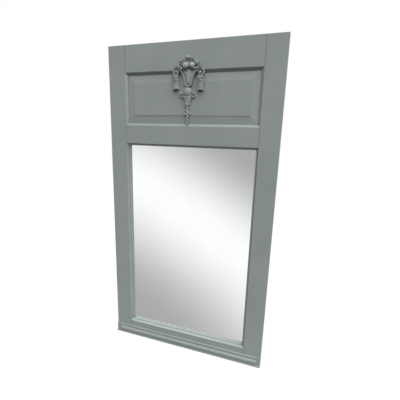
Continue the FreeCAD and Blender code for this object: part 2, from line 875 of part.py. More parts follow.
def volute_centre():
    """Centre of the first turn, from where the straight run meets it."""
    x, z = volute_start()
    radius = size.volute_radius
    return x + radius * cosine(size.flare_angle), z - radius * sine(size.flare_angle)


def strap_path():
    """Right half of the band: foot of the shield, leg, flare, run and volute."""
    radius = size.shield_radius
    leg_top = size.shield_leg - size.shield_drop
    first = size.volute_radius
    second = first - size.volute_step
    third = second - size.volute_step
    centre_x, centre_z = volute_centre()
    right = centre_x + first
    foot_x = right - second
    points = [(ZERO, -size.shield_drop - radius, radius, 1),
              (radius, -size.shield_drop),
              (radius, leg_top, size.flare_radius, -1),
              flare_end(),
              volute_start() + (first, -1),
              (right, centre_z, second, -1),
              (foot_x, centre_z - second, third, -1),
              (foot_x - third, centre_z - second + third)]
    return points


def scroll_strap():
    """One band, swept from the foot of the shield into a volute, and its mirror image."""
    body = trophy_body("scroll_strap")
    spine = draw(new_sketch(body, "XZ_Plane", "path"), strap_path(), closed=False)
    half = size.strap_width / 2
    middle = -size.shield_drop - size.shield_radius
    shoulder = -size.strap_proud + half
    section = draw(new_sketch(body, "YZ_Plane", "section"),
                   [(ZERO, middle - half), (ZERO, middle + half),
                    (shoulder, middle + half, half * HALF_ROUND, 1), (shoulder, middle - half)])
    half_strap = sweep(body, section, spine)
    mirror = body.newObject("PartDesign::Mirrored", "scroll_strap_mirrored")
    mirror.Originals = [half_strap]
    mirror.MirrorPlane = ([item for item in body.Origin.OriginFeatures
                           if item.Role == "YZ_Plane"][0], [""])
    body.Tip = mirror
    doc.recompute()
    return body


def ball(name, x, proud, z, radius):
    """A ball whose front stands the given amount proud."""
    return primitive("Sphere", name, size.ornament_x + x, face_y - proud + radius,
                     panel_top + z, Radius=radius)


def eye_centre():
    x, z = volute_centre()
    step = size.volute_step
    return x + step, z - step / 2


def scroll_eyes(strap, behind):
    x, z = eye_centre()
    balls = [ball(f"eye_{name}", x * side, size.eye_proud, z, size.eye_radius)
             for name, side in (("left", -1), ("right", 1))]
    whole = group("scroll_eyes_balls", balls)
    flat_backed = cut("scroll_eyes_flat", whole, behind)
    return cut("scroll_eyes", flat_backed, strap)


def shield_plate(strap):
    """Field of the shield, cut to lie inside the band."""
    body = trophy_body("shield_plate_blank")
    radius = size.shield_radius
    leg_top = size.shield_leg - size.shield_drop
    end_x, end_z = flare_end()
    lap_x = size.fruit_spacing / 2
    points = [(radius, -size.shield_drop), (radius, leg_top, size.flare_radius, -1),
              (end_x, end_z), (lap_x, size.plate_lap), (-lap_x, size.plate_lap),
              (-end_x, end_z, size.flare_radius, -1),
              (-radius, leg_top), (-radius, -size.shield_drop, radius, 1),
              (ZERO, -size.shield_drop - radius, radius, 1)]
    pad(body, draw(new_sketch(body, "XZ_Plane", "outline"), points), size.plate_proud)
    return cut("shield_plate", body, strap)


def fruit(behind):
    x = size.fruit_spacing / 2
    whole = ball("fruit_right_ball", x, size.ornament_proud, size.fruit_rise, size.fruit_radius)
    return cut("fruit_right", whole, behind)


def spindle(length, radius):
    """A pointed leaf or husk: a shallow arc turned about its chord, from the origin up."""
    bow = Part.Arc(Vector(0, 0, 0), Vector(radius, 0, length / 2), Vector(0, 0, length))
    chord = Part.LineSegment(Vector(0, 0, length), Vector(0, 0, 0))
    face = Part.Face(Part.Wire([bow.toShape(), chord.toShape()]))
    return face.revolve(Vector(0, 0, 0), Vector(0, 0, 1), 360)


def lean(shape, degrees):
    """Turns a shape in the plane of the frame, to the right for positive degrees."""
    return shape.rotated(Vector(0, 0, 0), Vector(0, 1, 0), degrees)


def carved(name, shape, x=0, z=0):
    """A free-form carving, in the trophy's own frame."""
    thing = doc.addObject("Part::Feature", name)
    thing.Label = name
    thing.Shape = shape
    place(thing, size.ornament_x + x, face_y, panel_top + z)
    doc.recompute()
    return thing


def front_half(shape):
    """Keeps what lies in front of the face."""
    room = size.width.value
    block = Part.makeBox(room, room, room, Vector(-room / 2, 0, -room / 2))
    return shape.cut(block)


def crest_spray(fruits):
    """Fan of leaves behind the fruits, with a bud in the middle."""
    leaves = [spindle(size.bud_length.value, size.leaf_radius.value)]
    for pair in range(1, int(size.leaf_pairs.value) + 1):
        for side in (-1, 1):
            leaf = spindle(size.leaf_length.value, size.leaf_radius.value)
            leaves.append(lean(leaf, side * pair * size.leaf_spread.value))
    fan = leaves[0].multiFuse(leaves[1:])
    spray = carved("crest_spray_leaves", front_half(fan), ZERO, size.spray_rise)
    return cut("crest_spray", spray, fruits)


def arm_leaf(strap_and_eyes, others):
    """Leaf that lies over the volute."""
    leaf = spindle(size.arm_leaf_length.value, size.arm_leaf_radius.value)
    flat_leaf = front_half(lean(leaf, 90 - size.arm_leaf_tilt.value))
    shape = carved("arm_leaf_right_blank", flat_leaf, size.arm_leaf_x, size.arm_leaf_rise)
    first = cut("arm_leaf_right_clear", shape, strap_and_eyes)
    return cut("arm_leaf_right", first, others)


def knot_centre():
    x, z = eye_centre()
    drop = size.volute_radius + size.strap_width / 2 + size.knot_radius
    return x, z - drop + size.volute_step


def knot(strap, behind):
    """Two lobes side by side, and the neck between them."""
    x, z = knot_centre()
    proud = size.knot_radius * 2
    lobes = [ball(f"knot_lobe_{name}", x + size.knot_spacing / 2 * side, proud, z,
                  size.knot_radius)
             for name, side in (("inner", -1), ("outer", 1))]
    neck = primitive("Cylinder", "knot_neck", size.ornament_x + x, face_y - size.knot_radius,
                     panel_top + z - size.knot_radius, Radius=size.knot_radius * KNOT_NECK,
                     Height=size.knot_radius * 2)
    whole = fuse("knot_right_lobes", lobes + [neck])
    flat_backed = cut("knot_right_flat", whole, behind)
    return cut("knot_right", flat_backed, strap)


def tassel(behind):
    """Turned body with a domed cap and a flared skirt, fluted all round."""
    knot_x, knot_z = knot_centre()
    body = trophy_body("tassel_right_blank", knot_x, -size.tassel_proud, knot_z - size.knot_radius)
    radius = size.tassel_radius
    length = size.tassel_length
    skirt_top = size.skirt_height - length
    points = [(ZERO, ZERO), (radius * CAP_FLAT, ZERO, size.tassel_cap * CAP_BEND, -1),
              (radius, -size.tassel_cap),
              (radius * TASSEL_WAIST, skirt_top, size.skirt_height * SKIRT_BEND, 1),
              (size.skirt_radius, -length), (ZERO, size.flute_radius - length)]
    revolve(body, draw(new_sketch(body, "XZ_Plane", "section"), points), "V_Axis")
    start = size.tassel_cap * FLUTE_START
    flute = draw_circle(new_sketch(body, "XY_Plane", "flute", lift=-start),
                        radius + size.flute_radius * FLUTE_OUT, ZERO, size.flute_radius)
    cutter = pocket(body, flute, length)
    pattern = body.newObject("PartDesign::PolarPattern", "tassel_flutes")
    pattern.Originals = [cutter]
    pattern.Axis = ([item for item in body.Origin.OriginFeatures if item.Role == "Z_Axis"][0], [""])
    pattern.Angle = 360
    bind(pattern, "Occurrences", size.flutes)
    body.Tip = pattern
    doc.recompute()
    return cut("tassel_right", body, behind)


def boss(strap):
    """Shallow dome on the field of the panel."""
    body = trophy_body("boss_blank", size.lower_x, size.field_recess, -size.boss_drop)
    radius = size.boss_radius
    height = size.boss_height
    curve = (radius * radius + height * height) / (height * 2)
    points = [(ZERO, ZERO), (radius, ZERO, curve, -1), (ZERO, -height)]
    revolve(body, draw(new_sketch(body, "XY_Plane", "section"), points), "V_Axis")
    return cut("boss", body, strap)


def curl():
    """Three quarters of a ring, from the bell round to the top, ending in a ball."""
    x = size.lower_x + size.curl_spacing / 2
    radius = size.curl_radius
    body = trophy_body("curl_right_ring", x, size.field_recess - size.curl_band, -size.curl_drop)
    section = draw_circle(new_sketch(body, "XY_Plane", "section"), -radius, ZERO, size.curl_band)
    ring = body.newObject("PartDesign::Revolution", "curl_ring")
    ring.Profile = section
    ring.ReferenceAxis = ([item for item in body.Origin.OriginFeatures
                           if item.Role == "Y_Axis"][0], [""])
    ring.Reversed = True
    bind(ring, "Angle", size.curl_turn)
    end = primitive("Sphere", "curl_ball", size.ornament_x + x,
                    face_y + size.field_recess - size.curl_ball,
                    panel_top - size.curl_drop + radius, Radius=size.curl_ball)
    return fuse("curl_right_whole", [body, end])


def bell(boss_piece, behind):
    """Turned bell, hollowed at the top by the boss above it."""
    body = trophy_body("bell_drop_body", size.lower_x, ZERO, -size.bell_drop)
    length = size.bell_length
    mouth = size.bell_radius
    foot = size.bell_foot
    boss_radius = size.boss_radius
    points = [(ZERO, boss_radius * BELL_CROWN),
              (mouth * BELL_SHOULDER_IN, boss_radius * BELL_SHOULDER, mouth * BELL_SHOULDER_BEND, -1),
              (mouth, -length * BELL_LIP, length * BELL_SIDE_BEND, -1),
              (size.bell_waist, -length * BELL_HEM, foot * BELL_HEM_BEND, -1),
              (foot, -length * BELL_COLLAR), (foot * BELL_COLLAR_OUT, -length), (ZERO, -length)]
    revolve(body, draw(new_sketch(body, "XZ_Plane", "section"), points), "V_Axis")
    flat_backed = cut("bell_drop_flat", body, behind)
    return cut("bell_drop", flat_backed, boss_piece)


def husk_garland(behind, bell_piece):
    """String of husks turned on one axis, each slimmer than the last, with a pair of berries."""
    top = size.bell_drop + size.bell_length
    body = trophy_body("husk_garland_string", size.lower_x, ZERO, -top)
    pitch = size.husk_pitch
    neck = size.husk_neck
    room = size.panel_opening_height - top - size.garland_gap
    husks = int((room / pitch).value)
    points = [(ZERO, ZERO)]
    for number in range(husks):
        swell = size.husk_radius - size.husk_taper * number - neck
        bend = (pitch * pitch / 4 + swell * swell) / (swell * 2)
        points.append((neck, -pitch * number, bend, -1))
    points += [(neck, -pitch * husks), (ZERO, -pitch * husks)]
    revolve(body, draw(new_sketch(body, "XZ_Plane", "section"), points), "V_Axis")
    drop = top + pitch * (size.berry_husk + BERRY_DROP)
    berries = [ball(f"berry_{name}", size.lower_x + size.berry_spacing / 2 * side,
                    size.berry_radius, -drop, size.berry_radius)
               for name, side in (("left", -1), ("right", 1))]
    whole = fuse("husk_garland_whole", [body] + berries)
    flat_backed = cut("husk_garland_flat", whole, behind)
    return cut("husk_garland", flat_backed, bell_piece)


# ---------------------------------------------------------------- the whole object

def build_frame():
    pegs = tenon_pegs()
    pins = board_pins()
    plate_screws = hanger_screws()
    fixings = group("fixings", [pegs, pins, plate_screws])
    bare_stile = stile_blank()
    left = cut("left_stile_pegged", bare_stile, fixings)
    seat = hanger_seat()
    left_seat = mirrored("hanger_seat_left", seat)
    left_stile = cut("left_stile", left, left_seat)
    right_stile = mirrored("right_stile", left_stile)
    rails = [cut("top_rail", top_rail_blank(), fixings),
             cut("middle_rail", middle_rail_blank(), fixings),
             cut("bottom_rail", bottom_rail_blank(), fixings)]
    board = cut("back_board", back_board_blank(), pins)
    plate = cut("hanger_plate_right", hanger_plate_blank(), plate_screws)
    plates = [plate, mirrored("hanger_plate_left", plate)]
    nodes = [left_stile, right_stile] + rails + [raised_panel()]
    nodes += moulding_set(panel_strip, "panel_moulding")
    nodes += moulding_set(mirror_strip, "mirror_moulding")
    nodes += [mirror_glass(), board, pins, pegs] + plates + [plate_screws]
    return nodes


def build_base():
    block = base_block()
    return [base_moulding(), base_lip(), block, mirrored("base_block_left", block)]


def build_trophy():
    middle = size.ornament_x
    behind_rail = back_block("behind_rail", ZERO)
    behind_field = back_block("behind_field", -size.field_recess)
    strap = scroll_strap()
    eyes = scroll_eyes(strap, behind_rail)
    plate = shield_plate(strap)
    fruit_right = fruit(behind_rail)
    fruit_left = mirrored("fruit_left", fruit_right, middle)
    fruits = group("fruits", [fruit_left, fruit_right])
    spray = crest_spray(group("below_spray", [fruits, strap, plate]))
    leaf_right = arm_leaf(group("volutes", [strap, eyes]), group("crest", [spray, fruits, plate]))
    knot_right = knot(strap, behind_rail)
    tassel_right = tassel(behind_rail)
    round_boss = boss(strap)
    bell_piece = bell(round_boss, behind_field)
    curl_whole = curl()
    curl_right = cut("curl_right", curl_whole, group("boss_and_bell", [round_boss, bell_piece]))
    garland = husk_garland(behind_field, bell_piece)
    nodes = [strap, eyes, plate, fruit_left, fruit_right, spray, round_boss, bell_piece, garland]
    for name, piece in (("arm_leaf", leaf_right), ("knot", knot_right),
                        ("tassel", tassel_right), ("curl", curl_right)):
        axis = middle + size.lower_x if name == "curl" else middle
        nodes += [piece, mirrored(f"{name}_left", piece, axis)]
    return nodes


def check(nodes):
    """Every object has to be computed, and every piece a sound solid."""
    doc.recompute()
    faults = [f"{thing.Label} failed" for thing in doc.Objects
              if "Invalid" in thing.State or "Error" in thing.State]
    for node in nodes:
        shape = node.Shape
        if shape.isNull() or not shape.isValid() or shape.Volume <= 0:
            faults.append(f"{node.Label} isn't a sound solid")
    if faults:
        raise RuntimeError("; ".join(faults))


nodes = build_frame() + build_base() + build_trophy()
check(nodes)
os.makedirs("parts", exist_ok=True)
for node in nodes:
    node.Shape.exportStep(f"parts/{node.Label}.step")
    print(f"{node.Label}: {len(node.Shape.Solids)} solids, {node.Shape.Volume / 1000:.1f} cm3")
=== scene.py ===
import math

import bpy
from mathutils import Matrix, Vector


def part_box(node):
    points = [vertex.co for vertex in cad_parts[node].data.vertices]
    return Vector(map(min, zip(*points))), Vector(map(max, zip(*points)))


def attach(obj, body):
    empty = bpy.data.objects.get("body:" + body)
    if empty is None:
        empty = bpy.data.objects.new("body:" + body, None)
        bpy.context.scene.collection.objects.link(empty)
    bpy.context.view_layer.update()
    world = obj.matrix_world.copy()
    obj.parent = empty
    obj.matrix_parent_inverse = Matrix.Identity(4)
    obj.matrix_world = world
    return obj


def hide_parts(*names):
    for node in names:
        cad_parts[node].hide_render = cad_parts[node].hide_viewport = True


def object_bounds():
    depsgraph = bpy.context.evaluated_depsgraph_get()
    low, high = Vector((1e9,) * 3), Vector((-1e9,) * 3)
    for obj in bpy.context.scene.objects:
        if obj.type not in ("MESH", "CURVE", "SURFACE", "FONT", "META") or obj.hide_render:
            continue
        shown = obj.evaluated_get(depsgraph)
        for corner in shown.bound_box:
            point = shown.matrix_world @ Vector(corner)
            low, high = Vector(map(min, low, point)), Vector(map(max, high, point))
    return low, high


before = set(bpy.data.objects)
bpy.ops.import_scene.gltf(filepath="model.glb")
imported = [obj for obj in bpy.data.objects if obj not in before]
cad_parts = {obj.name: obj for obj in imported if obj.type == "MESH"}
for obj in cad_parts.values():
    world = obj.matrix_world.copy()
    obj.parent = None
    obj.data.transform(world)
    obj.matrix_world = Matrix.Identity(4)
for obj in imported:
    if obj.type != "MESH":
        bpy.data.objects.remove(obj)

# Trumeau mirror. Metres, X to the right, Y to the back, Z up, as the frame has them.
# "Proud" is measured forward from the face of the frame.

cad_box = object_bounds()

# ------------------------------------------------------------------ places taken from the frame

FACE_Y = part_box("top_rail")[0].y
FIELD_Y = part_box("raised_panel")[0].y
OPENING_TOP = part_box("top_rail")[0].z
OPENING_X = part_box("panel_moulding_right")[1].x
MIRROR_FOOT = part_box("mirror_moulding_bottom")[0].z
TROPHY_X = (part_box("shield_plate")[0].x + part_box("shield_plate")[1].x) / 2
LOWER_X = (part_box("boss")[0].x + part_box("boss")[1].x) / 2 - TROPHY_X

# ------------------------------------------------------------------ camera, floor and light

CAMERA_PLACE = (0.441, -1.190, 1.077)
CAMERA_TURN = math.radians(17.57)
CAMERA_TILT = math.radians(-12.46)
CAMERA_ROLL = math.radians(1.81)
CAMERA_LENS = 24.77

SUN_DIRECTION = Vector((0.40, -0.44, 0.84))
SUN_COLOUR = (0.965, 1.0, 1.07)
SUN_LEVEL = 4.9
SUN_ANGLE = math.radians(88)
SKY_COLOUR = (1.03, 1.0, 0.99, 1)

# The sky's level, and the height in the sky (1 is overhead) at which it starts and stops rising.
SKY_LOW = 0.07
SKY_HIGH = 0.42
SKY_RISE_FROM = -0.1
SKY_RISE_TO = 0.9


def make_camera():
    """The eye stands to the right of the mirror, at the height of its middle rail."""
    data = bpy.data.cameras.new("camera")
    data.lens = CAMERA_LENS
    data.clip_start = 0.05
    data.clip_end = 60
    camera = bpy.data.objects.new("camera", data)
    bpy.context.scene.collection.objects.link(camera)
    turn = Matrix.Rotation(CAMERA_TURN, 4, "Z")
    tilt = Matrix.Rotation(math.pi / 2 + CAMERA_TILT, 4, "X")
    roll = Matrix.Rotation(CAMERA_ROLL, 4, "Z")
    camera.matrix_world = Matrix.Translation(CAMERA_PLACE) @ turn @ tilt @ roll
    bpy.context.scene.camera = camera


def make_sun():
    """A window's worth of light from the upper right, wide enough to leave hardly any shadow."""
    data = bpy.data.lights.new("window_light", "SUN")
    data.color = SUN_COLOUR
    data.energy = SUN_LEVEL
    data.angle = SUN_ANGLE
    sun = bpy.data.objects.new("window_light", data)
    bpy.context.scene.collection.objects.link(sun)
    sun.rotation_mode = "QUATERNION"
    sun.rotation_quaternion = SUN_DIRECTION.to_track_quat("Z", "Y")


# ------------------------------------------------------------------ node helpers

def new_tree(owner):
    """The empty node tree of a material or a world."""
    owner.use_nodes = True
    owner.node_tree.nodes.clear()
    return owner.node_tree


def fill(tree, made, values):
    """Gives a node's inputs their values. Another node's output is linked, the rest is set."""
    for socket, value in values.items():
        if isinstance(value, bpy.types.NodeSocket):
            tree.links.new(value, made.inputs[socket])
        else:
            made.inputs[socket].default_value = value


def node(tree, kind, put=None, **settings):
    """A node, with its settings by name and its inputs as a dict under "put"."""
    made = tree.nodes.new(kind)
    for key, value in settings.items():
        setattr(made, key, value)
    fill(tree, made, put or {})
    return made


def math_node(tree, operation, *values):
    return node(tree, "ShaderNodeMath", dict(enumerate(values)), operation=operation).outputs[0]


def vector_node(tree, operation, *values, output=0):
    made = node(tree, "ShaderNodeVectorMath", dict(enumerate(values)), operation=operation)
    return made.outputs[output]


def mix_colour(tree, share, first, second):
    """The first colour where share is 0, the second where it is 1."""
    made = node(tree, "ShaderNodeMix", {0: share, 6: first, 7: second}, data_type="RGBA")
    return made.outputs[2]


def mix_level(tree, share, first, second):
    """The first number where share is 0, the second where it is 1."""
    made = node(tree, "ShaderNodeMix", {0: share, 2: first, 3: second}, data_type="FLOAT")
    return made.outputs[0]


def fade(tree, value, low, high):
    """0 below low, 1 above high, smooth between. It falls instead where low is above high."""
    made = node(tree, "ShaderNodeMapRange", {0: value, 1: low, 2: high},
                interpolation_type="SMOOTHSTEP")
    return made.outputs[0]


def noise(tree, place, **values):
    """Noise of about 0 to 1 over a place."""
    return node(tree, "ShaderNodeTexNoise", {"Vector": place, **values}).outputs[0]


def split(tree, vector):
    """The X, Y and Z of a vector."""
    return node(tree, "ShaderNodeSeparateXYZ", {0: vector}).outputs


def surface(tree, what="Position"):
    """The position or the normal of the surface."""
    return node(tree, "ShaderNodeNewGeometry").outputs[what]


def new_group(name, inputs, outputs):
    """A shader node group, what it is given, and the node that takes its results."""
    tree = bpy.data.node_groups.new(name, "ShaderNodeTree")
    for label, kind, value in inputs:
        socket = tree.interface.new_socket(label, in_out="INPUT", socket_type=f"NodeSocket{kind}")
        socket.default_value = value
    for label, kind in outputs:
        tree.interface.new_socket(label, in_out="OUTPUT", socket_type=f"NodeSocket{kind}")
    return tree, tree.nodes.new("NodeGroupInput").outputs, tree.nodes.new("NodeGroupOutput")


def use(tree, group, **values):
    """Places a group in a material. A value is a plain value or another node's output."""
    made = node(tree, "ShaderNodeGroup", node_tree=group)
    fill(tree, made, {label.replace("_", " "): value for label, value in values.items()})
    return made.outputs


# ------------------------------------------------------------------ shared effects

BRISTLE_DETAIL = 3.0
BRISTLE_ROUGHNESS = 0.6
PAINT_PEEL_SCALE = 900.0
PAINT_PEEL_SHARE = 0.25


def brush_marks_group():
    """Streaks left by the brush, drawn out along one direction, over slow clouding."""
    tree, given, result = new_group(
        "brush_marks",
        [("Stretch", "Vector", (1, 1, 1)), ("Cloud Size", "Float", 5.0)],
        [("Streak", "Float"), ("Cloud", "Float"), ("Height", "Float")])
    place = surface(tree)
    drawn = vector_node(tree, "MULTIPLY", place, given["Stretch"])
    streak = noise(tree, drawn, Scale=1.0, Detail=BRISTLE_DETAIL, Roughness=BRISTLE_ROUGHNESS)
    cloud = noise(tree, place, Scale=given["Cloud Size"], Detail=2.0, Roughness=0.5)
    peel = noise(tree, place, Scale=PAINT_PEEL_SCALE, Detail=1.0)
    height = math_node(tree, "ADD", streak, math_node(tree, "MULTIPLY", peel, PAINT_PEEL_SHARE))
    fill(tree, result, {"Streak": streak, "Cloud": cloud, "Height": height})
    return tree


# Share of open air over a surface: dust and painted shade begin below the first, and are
# thickest at the second.
CREVICE_OPEN = 0.85
CREVICE_SHUT = 0.25


def crevice_group():
    """Where the surface is shut in: a mask for old dust and for painted shade."""
    tree, given, result = new_group("crevice", [("Reach", "Float", 0.01)], [("Mask", "Float")])
    shut = node(tree, "ShaderNodeAmbientOcclusion", {"Distance": given["Reach"]}, samples=8)
    mask = fade(tree, shut.outputs["AO"], CREVICE_OPEN, CREVICE_SHUT)
    fill(tree, result, {"Mask": mask})
    return tree


# How far the eased normal agrees with the true one: where an edge begins, and a sharp one.
ARRIS_BEGINS = 0.995
ARRIS_SHARP = 0.90


def soft_arris_group():
    """Edges eased by sandpaper and paint, and a mask of them for wear."""
    tree, given, result = new_group(
        "soft_arris", [("Radius", "Float", 0.0008)], [("Normal", "Vector"), ("Mask", "Float")])
    eased = node(tree, "ShaderNodeBevel", {"Radius": given["Radius"]}, samples=6).outputs[0]
    agree = vector_node(tree, "DOT_PRODUCT", eased, surface(tree, "Normal"), output=1)
    fill(tree, result, {"Normal": eased, "Mask": fade(tree, agree, ARRIS_BEGINS, ARRIS_SHARP)})
    return tree


SPOT_RAG_SCALE = 420.0
SPOT_RAG_REACH = 4


def spot_group():
    """A ragged patch round a centre: rubbed paint, a chip or a dent."""
    tree, given, result = new_group(
        "spot",
        [("Centre", "Vector", (0, 0, 0)), ("Radius", "Float", 0.005), ("Ragged", "Float", 0.5)],
        [("Mask", "Float")])
    place = surface(tree)
    away = vector_node(tree, "DISTANCE", place, given["Centre"], output=1)
    rough = noise(tree, place, Scale=SPOT_RAG_SCALE, Detail=3.0)
    wander = math_node(tree, "SUBTRACT", rough, 0.5)
    wander = math_node(tree, "MULTIPLY", wander, given["Ragged"])
    wander = math_node(tree, "MULTIPLY", wander, given["Radius"])
    reach = math_node(tree, "ADD", away, math_node(tree, "MULTIPLY", wander, SPOT_RAG_REACH))
    half = math_node(tree, "MULTIPLY", given["Radius"], 0.5)
    fill(tree, result, {"Mask": fade(tree, reach, given["Radius"], half)})
    return tree


EARLY_WOOD = 0.36
LATE_WOOD = 0.66


def wood_grain_group():
    """Long grain with darker late wood, for the bare back and the pegs."""
    tree, given, result = new_group(
        "wood_grain",
        [("Stretch", "Vector", (60, 60, 3)), ("Pale", "Color", (0.42, 0.29, 0.17, 1)),
         ("Dark", "Color", (0.25, 0.15, 0.08, 1))],
        [("Color", "Color"), ("Height", "Float")])
    drawn = vector_node(tree, "MULTIPLY", surface(tree), given["Stretch"])
    grain = noise(tree, drawn, Scale=1.0, Detail=6.0, Roughness=0.62, Distortion=0.35)
    share = fade(tree, grain, EARLY_WOOD, LATE_WOOD)
    colour = mix_colour(tree, share, given["Pale"], given["Dark"])
    fill(tree, result, {"Color": colour, "Height": grain})
    return tree


BRUSH_MARKS = brush_marks_group()
CREVICE = crevice_group()
SOFT_ARRIS = soft_arris_group()
SPOT = spot_group()
WOOD_GRAIN = wood_grain_group()

# ------------------------------------------------------------------ paint and other finishes

PAINT = (0.226, 0.251, 0.226, 1)
PAINT_LIGHT = (0.248, 0.273, 0.248, 1)
# A darker coat: painted shade on the panel's top moulding, which faces down.
PAINT_SHADED = (0.150, 0.158, 0.136, 1)
# A lighter coat, painted light on parts that stand in the light: the fruits, the knots, the curls
# and the mirror's foot.
PAINT_LIT = (0.272, 0.302, 0.284, 1)
PAINT_WORN = (0.330, 0.365, 0.345, 1)
# The dark colour that shut-in places are mixed toward: painted shade with dust. The cracked rail
# joints use it too.
SHADE = (0.060, 0.062, 0.050, 1)
OCHRE = (0.34, 0.27, 0.18, 1)
ROSE_BEIGE = (0.33, 0.245, 0.215, 1)
BARE_PALE = (0.40, 0.28, 0.17, 1)
BARE_DARK = (0.24, 0.15, 0.085, 1)

# Which way the brush or the grain runs: streaks per metre along X, Y and Z.
UPRIGHT = (230, 230, 5)
LEVEL = (5, 230, 230)
ALL_WAYS = (120, 120, 120)

CLOUD_SIZE = 5.0
ARRIS_RADIUS = 0.0009
CLOUD_FROM = 0.3
CLOUD_TO = 0.7
STREAK_FROM = 0.35
STREAK_TO = 0.75
STREAK_SHARE = 0.35
RUB_SHARE = 0.85
RUB_RAG = 0.8
DENT_RAG = 0.25
BRUSH_DEPTH = 0.00009
PAINT_ROUGHNESS = 0.52
STREAK_ROUGHNESS = 0.12
PAINT_SHEEN = 0.30
PAINT_RELIEF = 0.6
WOOD_ROUGHNESS = 0.75
BACK_ROUGHNESS = 0.8
WOOD_DUST_AND_SHADE = 0.5
GRAIN_DEPTH = 0.0002
GRAIN_RELIEF = 0.5
SLOP_SCALE = 26.0
SLOP_REACH = 0.016
SLOP_EDGE = 0.0015
BACK_BEGINS_Y = 0.004
BACK_BARE_Y = 0.006
BACK_FACING = 0.5
HAIRLINE_FROM = 0.0019
HAIRLINE_TO = 0.0013

STEEL_BRUSHING = (60, 900, 900)
STEEL_CLOUD_SIZE = 60.0
STEEL_DULLED = 0.6
STEEL_STREAKS = 0.2

GLASS_CLEAR = (0.93, 0.94, 0.935, 1)
GLASS_HAZY = (0.90, 0.92, 0.91, 1)
GLASS_STRETCH = (9, 9, 9)
GLASS_CLOUD_SIZE = 3.0
GLASS_CLOUD_TO = 0.8
GLASS_ROUGHNESS = 0.02


def new_material(name):
    material = bpy.data.materials.new(name)
    return material, new_tree(material)


def finish_material(tree, **sockets):
    """Closes a material with its one shader. Plain numbers stay on the shader's own sockets."""
    shader = node(tree, "ShaderNodeBsdfPrincipled")
    fill(tree, shader, {label.replace("_", " "): value for label, value in sockets.items()})
    node(tree, "ShaderNodeOutputMaterial", {"Surface": shader.outputs[0]})


def bump(tree, height, normal, strength):
    """Relief from a height in metres, over the given normal."""
    made = node(tree, "ShaderNodeBump", {"Strength": strength, "Distance": 1.0, "Height": height})
    if normal is not None:
        fill(tree, made, {"Normal": normal})
    return made.outputs[0]


def bare_back_mask(tree):
    """1 on the back face, where the wood was never painted, with a slopped edge of paint."""
    place = surface(tree)
    across, back, _ = split(tree, place)
    wander = math_node(tree, "MULTIPLY", noise(tree, place, Scale=SLOP_SCALE, Detail=4.0),
                       SLOP_REACH)
    inside = math_node(tree, "SUBTRACT", cad_box[1].x, math_node(tree, "ABSOLUTE", across))
    from_edge = fade(tree, math_node(tree, "SUBTRACT", inside, wander), 0.0, SLOP_EDGE)
    behind = fade(tree, back, BACK_BEGINS_Y, BACK_BARE_Y)
    facing = split(tree, surface(tree, "Normal"))[1]
    backward = fade(tree, facing, -BACK_FACING, BACK_FACING)
    mask = math_node(tree, "MULTIPLY", behind, from_edge)
    return math_node(tree, "MULTIPLY", mask, backward)


def shoulder_mask(tree):
    """1 in a line at the end of a rail, where the paint has cracked along the joint."""
    off_middle = math_node(tree, "ABSOLUTE", split(tree, surface(tree))[0])
    to_stile = math_node(tree, "SUBTRACT", OPENING_X, off_middle)
    return fade(tree, to_stile, HAIRLINE_FROM, HAIRLINE_TO)


def painted(name, stretch, crevice_reach=0.004, crevice_depth=0.25, wear=0.15, rubbed=(),
            dents=(), bare_back=False, coats=(PAINT, PAINT_LIGHT), hairline=0.0):
    """Grey-green paint over wood: brush marks, clouding, dust and painted shade in crevices, rubbed
    edges.

    rubbed holds (centre, radius, tint), and dents (centre, radius, height), below zero where sunk.
    hairline is how dark the cracked line at the end of a rail is.
    """
    material, tree = new_material(name)
    marks = use(tree, BRUSH_MARKS, Stretch=stretch, Cloud_Size=CLOUD_SIZE)
    arris = use(tree, SOFT_ARRIS, Radius=ARRIS_RADIUS)
    shut = use(tree, CREVICE, Reach=crevice_reach)
    colour = mix_colour(tree, fade(tree, marks["Cloud"], CLOUD_FROM, CLOUD_TO), *coats)
    streak = fade(tree, marks["Streak"], STREAK_FROM, STREAK_TO)
    streak = math_node(tree, "MULTIPLY", streak, STREAK_SHARE)
    colour = mix_colour(tree, streak, colour, coats[1])
    worn = math_node(tree, "MULTIPLY", arris["Mask"], wear)
    colour = mix_colour(tree, worn, colour, PAINT_WORN)
    # Painted shade and dust: the colour darkens toward SHADE where the surface is shut in.
    dust_and_shade = math_node(tree, "MULTIPLY", shut["Mask"], crevice_depth)
    colour = mix_colour(tree, dust_and_shade, colour, SHADE)
    if hairline:
        crack = math_node(tree, "MULTIPLY", shoulder_mask(tree), hairline)
        colour = mix_colour(tree, crack, colour, SHADE)
    height = math_node(tree, "MULTIPLY", marks["Height"], BRUSH_DEPTH)
    for centre, radius, tint in rubbed:
        spot = use(tree, SPOT, Centre=centre, Radius=radius, Ragged=RUB_RAG)
        share = math_node(tree, "MULTIPLY", spot["Mask"], RUB_SHARE)
        colour = mix_colour(tree, share, colour, tint)
    for centre, radius, rise in dents:
        spot = use(tree, SPOT, Centre=centre, Radius=radius, Ragged=DENT_RAG)
        height = math_node(tree, "ADD", height, math_node(tree, "MULTIPLY", spot["Mask"], rise))
    streaky = math_node(tree, "MULTIPLY", marks["Streak"], STREAK_ROUGHNESS)
    roughness = math_node(tree, "ADD", streaky, PAINT_ROUGHNESS - STREAK_ROUGHNESS / 2)
    if bare_back:
        mask = bare_back_mask(tree)
        wood = use(tree, WOOD_GRAIN, Stretch=stretch, Pale=BARE_PALE, Dark=BARE_DARK)
        colour = mix_colour(tree, mask, colour, wood["Color"])
        dry = math_node(tree, "MULTIPLY", mask, BACK_ROUGHNESS)
        roughness = math_node(tree, "MAXIMUM", roughness, dry)
    normal = bump(tree, height, arris["Normal"], PAINT_RELIEF)
    finish_material(tree, Base_Color=colour, Roughness=roughness, Normal=normal,
                    Specular_IOR_Level=PAINT_SHEEN)
    return material


